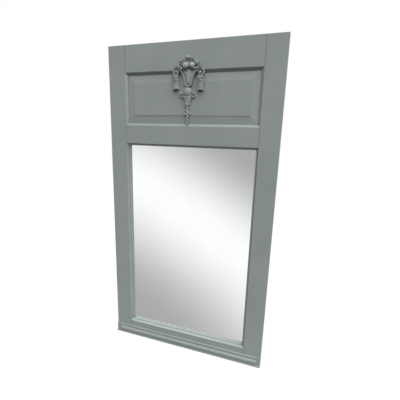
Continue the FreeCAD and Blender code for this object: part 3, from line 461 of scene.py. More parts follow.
def bare_wood(name, stretch, pale, dark):
    """Unpainted wood with open grain, darker in its corners with dust and painted shade."""
    material, tree = new_material(name)
    wood = use(tree, WOOD_GRAIN, Stretch=stretch, Pale=pale, Dark=dark)
    shut = use(tree, CREVICE, Reach=0.01)
    # Painted shade and dust in the corners.
    dust_and_shade = math_node(tree, "MULTIPLY", shut["Mask"], WOOD_DUST_AND_SHADE)
    colour = mix_colour(tree, dust_and_shade, wood["Color"], dark)
    height = math_node(tree, "MULTIPLY", wood["Height"], GRAIN_DEPTH)
    finish_material(tree, Base_Color=colour, Roughness=WOOD_ROUGHNESS,
                    Normal=bump(tree, height, None, GRAIN_RELIEF))
    return material


def steel(name, tint, rough):
    """Plated steel, a little dulled and brushed."""
    material, tree = new_material(name)
    marks = use(tree, BRUSH_MARKS, Stretch=STEEL_BRUSHING, Cloud_Size=STEEL_CLOUD_SIZE)
    dull = tuple(channel * STEEL_DULLED for channel in tint[:3]) + (1,)
    dulled = mix_colour(tree, fade(tree, marks["Cloud"], STREAK_FROM, CLOUD_TO), tint, dull)
    streaky = math_node(tree, "MULTIPLY", marks["Streak"], STEEL_STREAKS)
    roughness = math_node(tree, "ADD", streaky, rough)
    finish_material(tree, Base_Color=dulled, Roughness=roughness, Metallic=1.0)
    return material


def silvered_glass(name):
    """Mirror glass: silver seen through clear glass, with a faint greenish haze."""
    material, tree = new_material(name)
    marks = use(tree, BRUSH_MARKS, Stretch=GLASS_STRETCH, Cloud_Size=GLASS_CLOUD_SIZE)
    haze = fade(tree, marks["Cloud"], CLOUD_FROM, GLASS_CLOUD_TO)
    colour = mix_colour(tree, haze, GLASS_CLEAR, GLASS_HAZY)
    rough = math_node(tree, "MULTIPLY", marks["Streak"], GLASS_ROUGHNESS)
    finish_material(tree, Base_Color=colour, Roughness=rough, Metallic=1.0)
    return material


# ------------------------------------------------------------------ floor and surroundings

FLOOR_COLOUR = (0.80, 0.80, 0.79, 1)
FLOOR_CLOUD = (0.77, 0.77, 0.765, 1)
FLOOR_RADIUS = 7.0
FLOOR_CORNERS = 96
FLOOR_OWN_LIGHT = 0.80
FLOOR_OWN_LEVEL = 1.04
BOUNCE_COLOUR = (0.13, 0.127, 0.12, 1)


def make_floor():
    """A wide pale floor. It sends little light up to the object, and is near white to the eye."""
    ring = [(x, y, 0) for x, y in arc(0, 0, FLOOR_RADIUS, 0, 360, FLOOR_CORNERS)[:-1]]
    mesh = bpy.data.meshes.new("floor")
    mesh.from_pydata(ring, [], [list(range(FLOOR_CORNERS))])
    floor = bpy.data.objects.new("floor", mesh)
    bpy.context.scene.collection.objects.link(floor)
    material, tree = new_material("pale_floor")
    grain = node(tree, "ShaderNodeTexNoise", {"Scale": 3.0, "Detail": 2.0}).outputs[0]
    seen = node(tree, "ShaderNodeLightPath").outputs["Is Camera Ray"]
    colour = mix_colour(tree, grain, FLOOR_COLOUR, FLOOR_CLOUD)
    colour = mix_colour(tree, seen, BOUNCE_COLOUR, colour)
    matt = node(tree, "ShaderNodeBsdfDiffuse", {"Color": colour}).outputs[0]
    plain = node(tree, "ShaderNodeEmission", {"Color": (1, 1, 1, 1), "Strength": FLOOR_OWN_LEVEL})
    share = math_node(tree, "MULTIPLY", seen, FLOOR_OWN_LIGHT)
    both = node(tree, "ShaderNodeMixShader", {0: share, 1: matt, 2: plain.outputs[0]})
    node(tree, "ShaderNodeOutputMaterial", {"Surface": both.outputs[0]})
    mesh.materials.append(material)
    floor.visible_glossy = False


# What the mirror shows: soft diagonal bands of white and grey, by direction only.
# The bands cross the axis; the brightest lies at the peak, and the rate is in radians.
BAND_AXIS = (math.cos(math.radians(58)), 0, math.sin(math.radians(58)))
BAND_PEAK = -0.407
BAND_RATE = 10.64
BAND_MIDDLE = 0.747
BAND_SWING = 0.321


def make_world():
    """Light that grows overhead, white to the eye, and soft bands for what is polished."""
    world = bpy.data.worlds.new("studio")
    bpy.context.scene.world = world
    tree = new_tree(world)
    heading = node(tree, "ShaderNodeTexCoord").outputs["Generated"]
    across = vector_node(tree, "DOT_PRODUCT", heading, BAND_AXIS, output=1)
    turn = math_node(tree, "MULTIPLY", math_node(tree, "SUBTRACT", across, BAND_PEAK), BAND_RATE)
    band = math_node(tree, "MULTIPLY", math_node(tree, "COSINE", turn), BAND_SWING)
    band = math_node(tree, "ADD", band, BAND_MIDDLE)
    path = node(tree, "ShaderNodeLightPath").outputs
    overhead = fade(tree, split(tree, heading)[2], SKY_RISE_FROM, SKY_RISE_TO)
    spread = math_node(tree, "MULTIPLY", overhead, SKY_HIGH - SKY_LOW)
    level = mix_level(tree, path["Is Glossy Ray"], math_node(tree, "ADD", spread, SKY_LOW), band)
    clear = math_node(tree, "MAXIMUM", path["Is Camera Ray"], path["Is Transmission Ray"])
    plain = math_node(tree, "MAXIMUM", clear, path["Is Glossy Ray"])
    light = node(tree, "ShaderNodeBackground", {
        "Color": mix_colour(tree, plain, SKY_COLOUR, (1, 1, 1, 1)),
        "Strength": mix_level(tree, clear, level, 1.0)})
    node(tree, "ShaderNodeOutputWorld", {"Surface": light.outputs[0]})


# ------------------------------------------------------------------ mesh helpers

def flow(points, steps):
    """A smooth line through the points, with the given steps between each two."""
    ends = [points[0]] + list(points) + [points[-1]]
    line = []
    for before, start, end, after in zip(ends, ends[1:], ends[2:], ends[3:]):
        for step in range(steps):
            t = step / steps
            line.append(tuple(
                0.5 * (2 * b + (c - a) * t + (2 * a - 5 * b + 4 * c - d) * t ** 2
                       + (3 * b - a - 3 * c + d) * t ** 3)
                for a, b, c, d in zip(before, start, end, after)))
    line.append(tuple(points[-1]))
    return line


def arc(x, z, radius, start, end, steps):
    """Points on an arc in the plane of the frame, angles in degrees from the right."""
    return [(x + radius * math.cos(math.radians(start + (end - start) * step / steps)),
             z + radius * math.sin(math.radians(start + (end - start) * step / steps)))
            for step in range(steps + 1)]


def skin(rings):
    """Closed skin over rings of points, with both ends capped."""
    count = len(rings[0])
    corners = [tuple(point) for ring in rings for point in ring]
    faces = []
    for row in range(len(rings) - 1):
        for step in range(count):
            after = (step + 1) % count
            faces.append((row * count + step, row * count + after,
                          (row + 1) * count + after, (row + 1) * count + step))
    for row in (0, len(rings) - 1):
        middle = sum((Vector(point) for point in rings[row]), Vector()) / count
        corners.append(tuple(middle))
        for step in range(count):
            after = (step + 1) % count
            face = (row * count + step, row * count + after, len(corners) - 1)
            faces.append(face if row else face[::-1])
    return corners, faces


def turned(outline, around, ripple=None):
    """Rings round an upright axis through (radius, height) points; ripple changes the radius."""
    rings = []
    for number, (radius, height) in enumerate(outline):
        share = number / (len(outline) - 1)
        ring = []
        for step in range(around):
            angle = 2 * math.pi * step / around
            reach = radius * (ripple(share, angle) if ripple else 1)
            ring.append((reach * math.cos(angle), reach * math.sin(angle), height))
        rings.append(ring)
    return skin(rings)


def swept(path, section):
    """A band along a path of (x, z) or (x, z, proud) points; section(share) gives (side, proud)."""
    rings = []
    for number, point in enumerate(path):
        before = path[max(number - 1, 0)]
        after = path[min(number + 1, len(path) - 1)]
        along = Vector((after[0] - before[0], after[1] - before[1])).normalized()
        base = point[2] if len(point) > 2 else 0
        ring = [(point[0] + along.y * side, -(base + proud), point[1] - along.x * side)
                for side, proud in section(number / (len(path) - 1))]
        rings.append(ring)
    return skin(rings)


def moved(shell, x=0.0, z=0.0, proud=0.0, turn=0.0, lean=0.0, mirror=False):
    """The shell turned in the plane of the frame (clockwise), leant forward, then moved."""
    place = Matrix.Translation((x, -proud, z)) @ Matrix.Rotation(math.radians(turn), 4, "Y")
    place = place @ Matrix.Rotation(math.radians(lean), 4, "X")
    corners = [tuple(place @ Vector(corner)) for corner in shell[0]]
    faces = shell[1]
    if mirror:
        corners = [(-cx, cy, cz) for cx, cy, cz in corners]
        faces = [face[::-1] for face in faces]
    return corners, faces


def joined(shells):
    """The shells as one shell."""
    corners = []
    faces = []
    for shell in shells:
        start = len(corners)
        corners += shell[0]
        faces += [tuple(start + index for index in face) for face in shell[1]]
    return corners, faces


def both_sides(shells):
    """The shells of the right side, and then the same for the left."""
    return list(shells) + [moved(shell, mirror=True) for shell in shells]


LEAF_ROWS = 36
LEAF_HALF = 9
MIDRIB_DEPTH = 0.42
MIDRIB_WIDTH = 0.16
VEIN_DEPTH = 0.16


def leaf(length, width, thick, bend=0.0, lobes=4, lobe_depth=0.18, curl=0.0, veins=1.0,
         foot=0.25):
    """A carved leaf from the origin up: lobed edge, hollow midrib, slanting veins, curled tip.

    width is from the midrib to the edge, and foot is the breadth of the leaf's foot as a share of
    it. bend is in degrees, over the whole length, and curl lifts the tip.
    """
    rings = []
    x = z = 0.0
    for row in range(LEAF_ROWS + 1):
        share = row / LEAF_ROWS
        heading = math.radians(bend) * share
        if row:
            x += length / LEAF_ROWS * math.sin(heading)
            z += length / LEAF_ROWS * math.cos(heading)
        swell = math.sin(math.pi * min(1, share * 0.92 + 0.08) ** 0.75) ** 0.7
        breadth = max(width * (foot * (1 - share) + (1 - foot * (1 - share)) * swell), 0.0003)
        breadth *= 1 - lobe_depth * (0.5 - 0.5 * math.cos(2 * math.pi * lobes * share))
        breadth *= 1 if share < 0.995 else 0.4
        lift = curl * max(0.0, share - 0.45) ** 2 / 0.3
        front = []
        back = []
        for step in range(-LEAF_HALF, LEAF_HALF + 1):
            across = step / LEAF_HALF
            dome = (1 - across ** 2) ** 0.5
            groove = MIDRIB_DEPTH * math.exp(-(across / MIDRIB_WIDTH) ** 2)
            vein = VEIN_DEPTH * veins * math.cos(2 * math.pi * (lobes * share - 0.9 * abs(across)))
            relief = 0.75 - groove + vein * (1 - dome * 0.2)
            rise = thick * (0.25 + dome * relief * (1 - 0.35 * share))
            place_x = x + across * breadth * math.cos(heading)
            place_z = z - across * breadth * math.sin(heading)
            front.append((place_x, -(lift + rise), place_z))
            back.append((place_x, -max(0.0, lift - thick * 0.3) * dome, place_z))
        rings.append(front + back[::-1])
    return skin(rings)


def ball_shell(radius, around=28, rise=16, dimple=0.0):
    """A ball whose pole faces forward, with a dimple in the pole if asked."""
    outline = []
    for step in range(rise + 1):
        angle = math.pi * step / rise
        push = dimple * math.exp(-(angle / 0.32) ** 2)
        outline.append((max(radius * math.sin(angle), radius * 0.01),
                        radius * (math.cos(angle) - push)))
    corners, faces = turned(outline[::-1], around)
    return [(cx, -cz, cy) for cx, cy, cz in corners], faces


def left_rise(x):
    """How much higher a point of the trophy lies, because its left side was planted higher."""
    share = min(1.0, max(0.0, (-x - LEFT_RISE_FROM) / (LEFT_RISE_TO - LEFT_RISE_FROM)))
    return LEFT_RISE * share * share * (3 - 2 * share)


def make_piece(name, shell, carrier_y=None, voxel=0.0, smooth=0, shift=0.0):
    """An object from a shell in the trophy's own places. Nothing of it lies behind its carrier.

    carrier_y is the surface that it is planted on, the face of the frame if not given. With a
    voxel size the shell's overlapping forms are melted into one skin. shift moves it sideways.
    """
    limit = FACE_Y if carrier_y is None else carrier_y
    middle = TROPHY_X + shift
    corners = [(middle + cx, min(FACE_Y + cy, limit), OPENING_TOP + cz + left_rise(cx))
               for cx, cy, cz in shell[0]]
    mesh = bpy.data.meshes.new(name)
    mesh.from_pydata(corners, [], shell[1])
    mesh.validate()
    piece = bpy.data.objects.new(name, mesh)
    bpy.context.scene.collection.objects.link(piece)
    if voxel:
        melt(piece, voxel, smooth)
    piece.data.shade_smooth()
    return piece


def melt(piece, voxel, smooth):
    """Joins overlapping carvings into one skin, softened like paint over wood."""
    remesh = piece.modifiers.new("melt", "REMESH")
    remesh.mode = "VOXEL"
    remesh.voxel_size = voxel
    if smooth:
        soften = piece.modifiers.new("soften", "SMOOTH")
        soften.factor = 0.5
        soften.iterations = smooth
    depsgraph = bpy.context.evaluated_depsgraph_get()
    melted = bpy.data.meshes.new_from_object(piece.evaluated_get(depsgraph))
    piece.modifiers.clear()
    rough = piece.data
    piece.data = melted
    bpy.data.meshes.remove(rough)


def settle(piece, material, *nodes):
    """Finishes a piece: its paint, the body that it rides on and what it stands for."""
    piece.data.materials.clear()
    piece.data.materials.append(material)
    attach(piece, "root")
    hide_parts(*nodes)


# ------------------------------------------------------------------ carved trophy
# Places are from the middle of the trophy (X) and the upper edge of the panel opening (Z).

VOXEL = 0.0007

FRUIT_RADIUS = 0.0135
FRUIT_X = 0.0145
FRUIT_MIDDLE = 0.0018
FRUIT_Z = 0.0145
FRUIT_PROUD = 0.0082

# The fan springs from FAN_Z and spreads from FAN_LEFT to FAN_RIGHT, angles from straight up.
FAN_Z = 0.010
FAN_REACH = 0.0395
FAN_ROOT = 0.003
FAN_LEAN = 0.0138
FAN_RIBS = 20
FAN_RIB_DEPTH = 0.0019
FAN_SCALLOP = 0.10
FAN_ROWS = 110
FAN_STEPS = 14
FAN_LEFT = math.radians(-54)
FAN_RIGHT = math.radians(82)
BUD_RADIUS = 0.0080

# Leaves that hang under the fruits, on the right: length, width, x, z and turn.
APRON_LEAVES = ((0.0165, 0.0052, 0.006, 0.006, 164), (0.0175, 0.0052, 0.017, 0.006, 150),
                (0.0140, 0.0046, 0.026, 0.004, 128))

SHIELD_RADIUS = 0.0145
SHIELD_Z = -0.0515
SHIELD_SIDE = ((0.0160, -0.0430), (0.0182, -0.0340), (0.0215, -0.0240), (0.0268, -0.0145),
               (0.0335, -0.0075), (0.0405, -0.0040))
SHIELD_CORNERS = 48
SHIELD_PROUD = 0.0036

# The tongue's edge, from its foot to its top: how far in, and how proud.
TONGUE_EDGE = ((0.0, 0.0), (0.0, 0.0050), (0.0008, 0.0062), (0.0022, 0.0068), (0.0048, 0.0070))
TONGUE_RADIUS = 0.0090
TONGUE_Z = -0.0500
TONGUE_TOP = -0.0010

# The volute winds inward from VOLUTE_START by VOLUTE_TURN, in degrees.
VOLUTE_X = 0.0557
VOLUTE_Z = -0.0122
VOLUTE_START = 122
VOLUTE_TURN = 325
VOLUTE_RADIUS = 0.0142
VOLUTE_END_RADIUS = 0.0112
VOLUTE_STEPS = 60
STRAP_WIDTH = 0.0090
STRAP_PROUD = 0.0095

EYE_RADIUS = 0.0071
EYE_X = 0.0560
EYE_Z = -0.0130
EYE_INSET = 0.0022

KNOT_Z = -0.0330
LOOP_RADIUS = 0.0056
LOOP_STAND = 0.0034

TASSEL_RADIUS = 0.0146
SKIRT_RADIUS = 0.0150
TASSEL_TOP = -0.0402
TASSEL_LENGTH = 0.0440
TASSEL_FLUTES = 11
TASSEL_CORNERS = 144
FLUTE_DEPTH = 0.20
FLUTE_TOP = -0.0060
PEG_HOLE_DEPTH = 0.22
PEG_HOLE_Z = -0.0135
PEG_HOLE_RADIUS = 0.0026

BOSS_RADIUS = 0.0204
BOSS_HEIGHT = 0.018
BOSS_Z = -0.0900
BOSS_FULLNESS = 0.8
BOSS_ROWS = 18

CURL_X = 0.0272
CURL_Z = -0.1055
CURL_RADIUS = 0.0075
CURL_STAND = 0.0030

BELL_TOP = -0.1015
BELL_LENGTH = 0.0460
BELL_FLATNESS = 0.46

# Places of the points along the bell's hem: x, z above the foot, and proud.
HEM_POINTS = ((-0.0088, 0.0125, 0.0050), (0.0, 0.0110, 0.0066), (0.0088, 0.0125, 0.0050))
SLOT_Z = -0.0180
SLOT_HEIGHT = 0.0018
SLOT_DEPTH = 0.40

GARLAND_TOP = -0.146
HUSKS = 9
HUSK_PITCH = 0.0088
HUSK_TOP_RADIUS = 0.0057
HUSK_END_RADIUS = 0.0036
HUSK_TURN = 38
SEAM_DEPTH = 0.16
BERRY_X = 0.0102
BERRY_Z = -0.1815
BERRY_RADIUS = 0.0050

# The left side of the trophy was planted a little higher than the right.
LEFT_RISE = 0.0052
LEFT_RISE_FROM = 0.026
LEFT_RISE_TO = 0.0395


def fan_shell():
    """Fluted fan that leans out over the fruits, so that its face looks down."""
    rings = []
    for row in range(FAN_ROWS + 1):
        angle = FAN_LEFT + (FAN_RIGHT - FAN_LEFT) * (row / FAN_ROWS)
        lobe = 0.5 + 0.5 * math.cos(FAN_RIBS / 2 * angle)
        reach = FAN_REACH * (1 + 0.07 * math.sin(angle)) * (1 - FAN_SCALLOP + FAN_SCALLOP * lobe)
        section = []
        for step in range(FAN_STEPS + 1):
            share = 0.06 + 0.94 * step / FAN_STEPS
            rib = FAN_RIB_DEPTH * math.cos(FAN_RIBS * angle) * min(1.0, share * 1.6)
            out = FAN_ROOT + (FAN_LEAN - FAN_ROOT) * share ** 1.5 + rib
            section.append((share * reach, out))
        rim = section[-1][1]
        section += [(reach * 1.02, rim - 0.0020), (reach * 0.97, rim * 0.55), (reach * 0.90, 0),
                    (0.002, 0)]
        rings.append([(across * math.sin(angle), -out, across * math.cos(angle) + FAN_Z)
                      for across, out in section])
    return skin(rings)


def rolled_leaf_shell(x, z, radius):
    """Small leaf rolled up on itself, seen end on, with its tip in the middle."""
    path = arc(x, z, radius, 200, -120, 30)

    def section(share):
        half = radius * (0.50 - 0.16 * share)
        return [(half * math.cos(2 * math.pi * step / 14),
                 half * (1 + math.sin(2 * math.pi * step / 14))) for step in range(14)][::-1]

    ring = swept([(px, pz, 0.004) for px, pz in path], section)
    return joined([ring, moved(ball_shell(radius * 0.42), x=x, z=z, proud=0.0045)])


def crest_leaves():
    """Fan of leaves with a bud on its edge, a rolled leaf at its left, a tail leaf at its right."""
    middle_leaf = moved(leaf(length=0.030, width=0.0050, thick=0.0060, lobes=2, veins=0.5),
                        z=FAN_Z, proud=0.0060)
    bud = moved(ball_shell(BUD_RADIUS), x=-0.0020, z=FAN_Z + FAN_REACH - 0.0035,
                proud=FAN_LEAN - 0.0042)
    rolled_leaf = rolled_leaf_shell(x=-0.0330, z=0.0270, radius=0.0068)
    left_tip = moved(leaf(length=0.011, width=0.0036, thick=0.005, lobes=1),
                     x=-0.0235, z=0.0330, proud=0.008, turn=-30)
    tail = moved(leaf(length=0.022, width=0.0046, thick=0.0060, bend=20, lobes=1, curl=0.004),
                 x=0.0330, z=0.0245, proud=0.0075, turn=80)
    tail_below = moved(leaf(length=0.020, width=0.0040, thick=0.0050, bend=30, lobes=2),
                       x=0.0310, z=0.0185, proud=0.0020, turn=84)
    left_below = moved(leaf(length=0.016, width=0.0036, thick=0.0050, bend=-24, lobes=2),
                       x=-0.0300, z=0.0175, proud=0.0035, turn=-80)
    apron = [moved(leaf(length=length, width=width, thick=0.0040, lobes=3),
                   x=x, z=z, turn=turn, proud=0.001)
             for length, width, x, z, turn in APRON_LEAVES]
    seeds = [moved(ball_shell(0.0056), x=-0.0030, z=-0.0035, proud=0.0030),
             moved(ball_shell(0.0030), x=0.0190, z=-0.0080, proud=0.0036)]
    shells = [fan_shell(), middle_leaf, bud, rolled_leaf, left_tip, tail, tail_below, left_below]
    shells += both_sides(apron) + seeds
    return make_piece("crest_leaves", joined(shells), voxel=VOXEL * 0.9, smooth=1)


def fruit_shell(side):
    """Round fruit with the dimple of its eye, turned a little up and out."""
    shell = ball_shell(FRUIT_RADIUS, around=40, rise=26, dimple=0.12)
    stem = moved(ball_shell(0.0014, around=12, rise=8), proud=FRUIT_RADIUS * 0.86)
    whole = joined([shell, stem])
    whole = moved(whole, turn=side * 34, lean=-10)
    return moved(whole, x=side * FRUIT_X + FRUIT_MIDDLE, z=FRUIT_Z, proud=FRUIT_PROUD)


def shield_side():
    """Right half of the shield's outline: round foot, then a side that flares out."""
    foot = arc(0, SHIELD_Z, SHIELD_RADIUS, -90, -8, 16)
    return foot[:-1] + flow([foot[-1]] + list(SHIELD_SIDE), 8)


def strap_path():
    """Right half of the band: round the shield's foot, up its side and into the volute."""
    path = shield_side()
    for step in range(1, VOLUTE_STEPS + 1):
        share = step / VOLUTE_STEPS
        radius = VOLUTE_RADIUS + (VOLUTE_END_RADIUS - VOLUTE_RADIUS) * share
        heading = math.radians(VOLUTE_START - VOLUTE_TURN * share)
        path.append((VOLUTE_X + radius * math.cos(heading) + 0.0012 * share,
                     VOLUTE_Z + radius * math.sin(heading)))
    return path


def strap_section(share):
    """Broad band with a hollow down its middle, slimmer at the very end of the volute."""
    half = STRAP_WIDTH / 2 * (1 - 0.22 * min(1.0, share / 0.6))
    half *= 1 - 0.45 * max(0.0, (share - 0.88) / 0.12)
    points = [(-half, 0), (-half * 0.98, STRAP_PROUD * 0.72), (-half * 0.80, STRAP_PROUD * 0.95),
              (-half * 0.52, STRAP_PROUD), (0, STRAP_PROUD * 0.90)]
    return points + [(-side, proud) for side, proud in points[3::-1]]


def scrolled_strap():
    """The whole band, both halves."""
    half = swept(strap_path(), strap_section)
    return make_piece("scrolled_strap", joined(both_sides([half])), voxel=VOXEL * 0.8, smooth=1)


def shield_field():
    """Hollowed field of the shield with a raised round-ended tongue in it."""
    side = shield_side()[:SHIELD_CORNERS]
    top = 0.002
    field = []
    for proud in (0.0, SHIELD_PROUD):
        outline = [(min(x, side[-1][0]), min(z, top)) for x, z in side] + [(side[-1][0], top)]
        field.append([(x, -proud, z) for x, z in outline + [(-x, z) for x, z in outline[:0:-1]]])
    tongue = []
    for inset, proud in TONGUE_EDGE:
        radius = TONGUE_RADIUS - inset
        outline = arc(0, TONGUE_Z, radius, -90, 0, 14) + [(radius + 0.0016, TONGUE_TOP - inset)]
        tongue.append([(x, -proud, z) for x, z in outline + [(-x, z) for x, z in outline[:0:-1]]])
    return make_piece("shield_field", joined([skin(field), skin(tongue)]))


def volute_balls():
    """The balls that the volutes roll up on. The right one sits a little inside its volute."""
    ball = ball_shell(EYE_RADIUS, dimple=0.20)
    balls = [moved(ball, x=x, z=EYE_Z, proud=0.0070, lean=8) for x in (-EYE_X, EYE_X - EYE_INSET)]
    return make_piece("volute_balls", joined(balls))


def arm_leaf_shell():
    """Broad leaf that lies over the volute, from a bud beside the fruit outward to its tip."""
    main = moved(leaf(length=0.034, width=0.0060, thick=0.0072, bend=14, lobes=1, lobe_depth=0.06,
                      veins=0.4, curl=0.003, foot=0.8), x=0.0260, z=0.0015, proud=0.0076, turn=72)
    under = moved(leaf(length=0.022, width=0.0040, thick=0.0050, bend=26, lobes=2),
                  x=0.027, z=-0.0015, proud=0.004, turn=84)
    bud = moved(ball_shell(0.0046), x=0.0300, z=0.0018, proud=0.0095)
    return joined([main, under, bud])


def knot_shell():
    """Two bow loops side by side and the tie between them."""
    loops = [moved(ball_shell(LOOP_RADIUS, dimple=0.16), x=EYE_X + LOOP_RADIUS * side,
                   z=KNOT_Z, proud=LOOP_RADIUS + LOOP_STAND) for side in (-1.35, 1.35)]
    tie = moved(turned(flow([(0.0022, -0.0062), (0.0042, -0.0045), (0.0030, 0.0), (0.0040, 0.0045),
                             (0.0018, 0.0062)], 4), 20), x=EYE_X, z=KNOT_Z, proud=0.0055)
    return joined(loops + [tie])


def tassel_shell():
    """Turned tassel: flat top, fluted threads with a peg hole, flared skirt with a hollow foot."""
    foot = -TASSEL_LENGTH
    outline = flow([(0.0015, 0.0), (0.0105, -0.0002), (0.0139, -0.0010), (TASSEL_RADIUS, -0.0030),
                    (TASSEL_RADIUS - 0.0002, -0.0070), (TASSEL_RADIUS - 0.0006, -0.0130),
                    (TASSEL_RADIUS - 0.0010, -0.0220), (TASSEL_RADIUS - 0.0012, -0.0290),
                    (TASSEL_RADIUS - 0.0008, foot + 0.0090),
                    (TASSEL_RADIUS + 0.0004, foot + 0.0040),
                    (SKIRT_RADIUS, foot + 0.0012), (SKIRT_RADIUS - 0.0004, foot)], 5)
    count = len(outline)
    outline += [(0.0134, foot + 0.0004), (0.0126, foot + 0.0020), (0.0030, foot + 0.0024)]

    def flutes(share, angle):
        row = min(share * (len(outline) - 1), count - 1)
        height = outline[int(round(row))][1]
        start = min(1.0, max(0.0, (FLUTE_TOP - height) / 0.004))
        above_hole = (height - PEG_HOLE_Z) / PEG_HOLE_RADIUS
        hole = math.exp(-((angle - 1.5 * math.pi) / 0.15) ** 2 - above_hole ** 2)
        groove = (0.5 + 0.5 * math.cos(TASSEL_FLUTES * angle)) ** 1.5
        return 1 - FLUTE_DEPTH * start * groove - PEG_HOLE_DEPTH * hole

    return moved(turned(outline, TASSEL_CORNERS, flutes), x=EYE_X, z=TASSEL_TOP, proud=0.0015)


def boss_shell():
    """Round boss, fuller at its edge than half a ball."""
    outline = []
    for step in range(BOSS_ROWS + 1):
        angle = math.pi / 2 * step / BOSS_ROWS
        outline.append((BOSS_RADIUS * math.cos(angle) ** BOSS_FULLNESS + 0.0003,
                        BOSS_HEIGHT * math.sin(angle) ** BOSS_FULLNESS))
    corners, faces = turned(outline, 48)
    return moved(([(cx, -cz, cy) for cx, cy, cz in corners], faces), z=BOSS_Z,
                 proud=FACE_Y - FIELD_Y)


def curl_shell():
    """Curl like a 6: a ball on top of a band that winds in below it."""
    path = arc(CURL_X, CURL_Z, CURL_RADIUS * 0.9, 70, 400, 44)
    proud = FACE_Y - FIELD_Y

    def section(share):
        radius = 0.0036 - 0.0008 * share
        angles = [2 * math.pi * step / 16 for step in range(16, 0, -1)]
        return [(radius * math.cos(angle),
                 CURL_STAND + radius * (1 + math.sin(angle)) if math.sin(angle) > -0.5 else 0.0)
                for angle in angles]

    ring = swept([(x, z, proud) for x, z in path], section)
    top = moved(ball_shell(0.0054), x=CURL_X + 0.0015, z=CURL_Z + CURL_RADIUS + 0.0020,
                proud=0.0050)
    inner = moved(ball_shell(0.0026), x=CURL_X, z=CURL_Z, proud=0.0005)
    return joined([ring, top, inner])


def bell():
    """Flattened bell that comes out from under the boss, with a slot and a pointed hem."""
    foot = -BELL_LENGTH
    body = flow([(0.0040, 0.0020), (0.0120, 0.0010), (0.0172, -0.0015), (0.0190, -0.0060),
                 (0.0186, -0.0140), (0.0172, -0.0220), (0.0145, -0.0300), (0.0112, foot + 0.0070),
                 (0.0050, foot + 0.0060)], 5)

    def carving(share, angle):
        height = body[min(int(round(share * (len(body) - 1))), len(body) - 1)][1]
        above_slot = (height - SLOT_Z) / SLOT_HEIGHT
        slot = math.exp(-((angle - 1.46 * math.pi) / 0.24) ** 2 - above_slot ** 2)
        return 1 - SLOT_DEPTH * slot

    corners, faces = turned(body, 80, carving)
    cup = ([(cx, cy * BELL_FLATNESS, cz) for cx, cy, cz in corners], faces)
    collar = turned(flow([(0.0040, foot + 0.010), (0.0072, foot + 0.006), (0.0080, foot + 0.002),
                          (0.0060, foot - 0.002), (0.0030, foot - 0.003)], 4), 40)
    points = [moved(leaf(length=0.0115, width=0.0050, thick=0.0040, lobes=1, veins=0.0),
                    x=x, z=foot + z, proud=proud, turn=180) for x, z, proud in HEM_POINTS]
    shells = [moved(shell, z=BELL_TOP) for shell in [cup, collar] + points]
    return make_piece("bell", joined(shells), carrier_y=FIELD_Y, voxel=VOXEL, smooth=1,
                      shift=LOWER_X)


def husk_shell(number):
    """One plump husk of the string, leaning to the side that its number gives."""
    share = number / (HUSKS - 1)
    radius = HUSK_TOP_RADIUS + (HUSK_END_RADIUS - HUSK_TOP_RADIUS) * share
    side = 1 if number % 2 else -1
    outline = flow([(0.0006, 0.0100), (radius * 0.55, 0.0070), (radius * 0.92, 0.0025),
                    (radius, -0.0015), (radius * 0.72, -0.0060), (0.0006, -0.0085)], 4)

    def seam(_, angle):
        return 1 - SEAM_DEPTH * (0.5 + 0.5 * math.cos(4 * angle + math.pi / 2)) ** 3

    return moved(turned(outline, 36, seam), x=side * radius * 0.38,
                 z=-HUSK_PITCH * (number + 0.55), proud=0.0012, turn=side * HUSK_TURN)


def garland():
    """Twisted string of husks, slimmer towards its tip, with two berries beside it."""
    core = flow([(0.0040, 0.0), (0.0048, -0.02), (0.0042, -0.05), (0.0026, -0.078),
                 (0.0006, -0.0805)], 6)
    shells = [turned(core, 20)] + [husk_shell(number) for number in range(HUSKS)]
    shells = [moved(joined(shells), z=GARLAND_TOP)]
    berry = moved(ball_shell(BERRY_RADIUS, dimple=0.12), x=BERRY_X, z=BERRY_Z, proud=0.0012)
    stalk_leaf = moved(leaf(length=0.014, width=0.0032, thick=0.004, lobes=2),
                       x=0.004, z=BERRY_Z + 0.014, turn=150, proud=0.001)
    shells += both_sides([berry, stalk_leaf])
    return make_piece("garland", joined(shells), carrier_y=FIELD_Y, voxel=VOXEL * 0.8, smooth=1,
                      shift=LOWER_X)


# ------------------------------------------------------------------ which finish goes where

# Wear that shows on the face. Dents have a place, a radius and a height, below zero where sunk;
# rubs and chips have a place, a radius and the colour that comes through.
STILE_DENTS = (((0.345, FACE_Y, 0.430), 0.0045, -0.0009), ((0.338, FACE_Y, 0.365), 0.0030, 0.0006),
               ((0.349, FACE_Y, 0.475), 0.0025, 0.0005))
RAIL_RUBS = (((-0.250, FACE_Y, 1.120), 0.005, OCHRE), ((-0.238, FACE_Y, 1.118), 0.003, OCHRE))
FOOT_CHIPS = (((0.015, FACE_Y, MIRROR_FOOT + 0.004), 0.003, PAINT_WORN),)

BOARD_PALE = (0.36, 0.25, 0.15, 1)
BOARD_DARK = (0.23, 0.145, 0.08, 1)
PEG_PALE = (0.50, 0.36, 0.22, 1)
PEG_DARK = (0.34, 0.22, 0.12, 1)
PLATE_STEEL = (0.62, 0.60, 0.55, 1)
SCREW_STEEL = (0.55, 0.54, 0.52, 1)


def trophy_spot(x, z, proud):
    """A place on the trophy: x from its middle, z from the top of the panel's opening."""
    return (TROPHY_X + x, FACE_Y - proud, OPENING_TOP + z)


def dress(material, *nodes):
    """Paints nodes of the frame, whose shapes stay as they are."""
    for name in nodes:
        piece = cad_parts[name]
        piece.data.materials.clear()
        piece.data.materials.append(material)


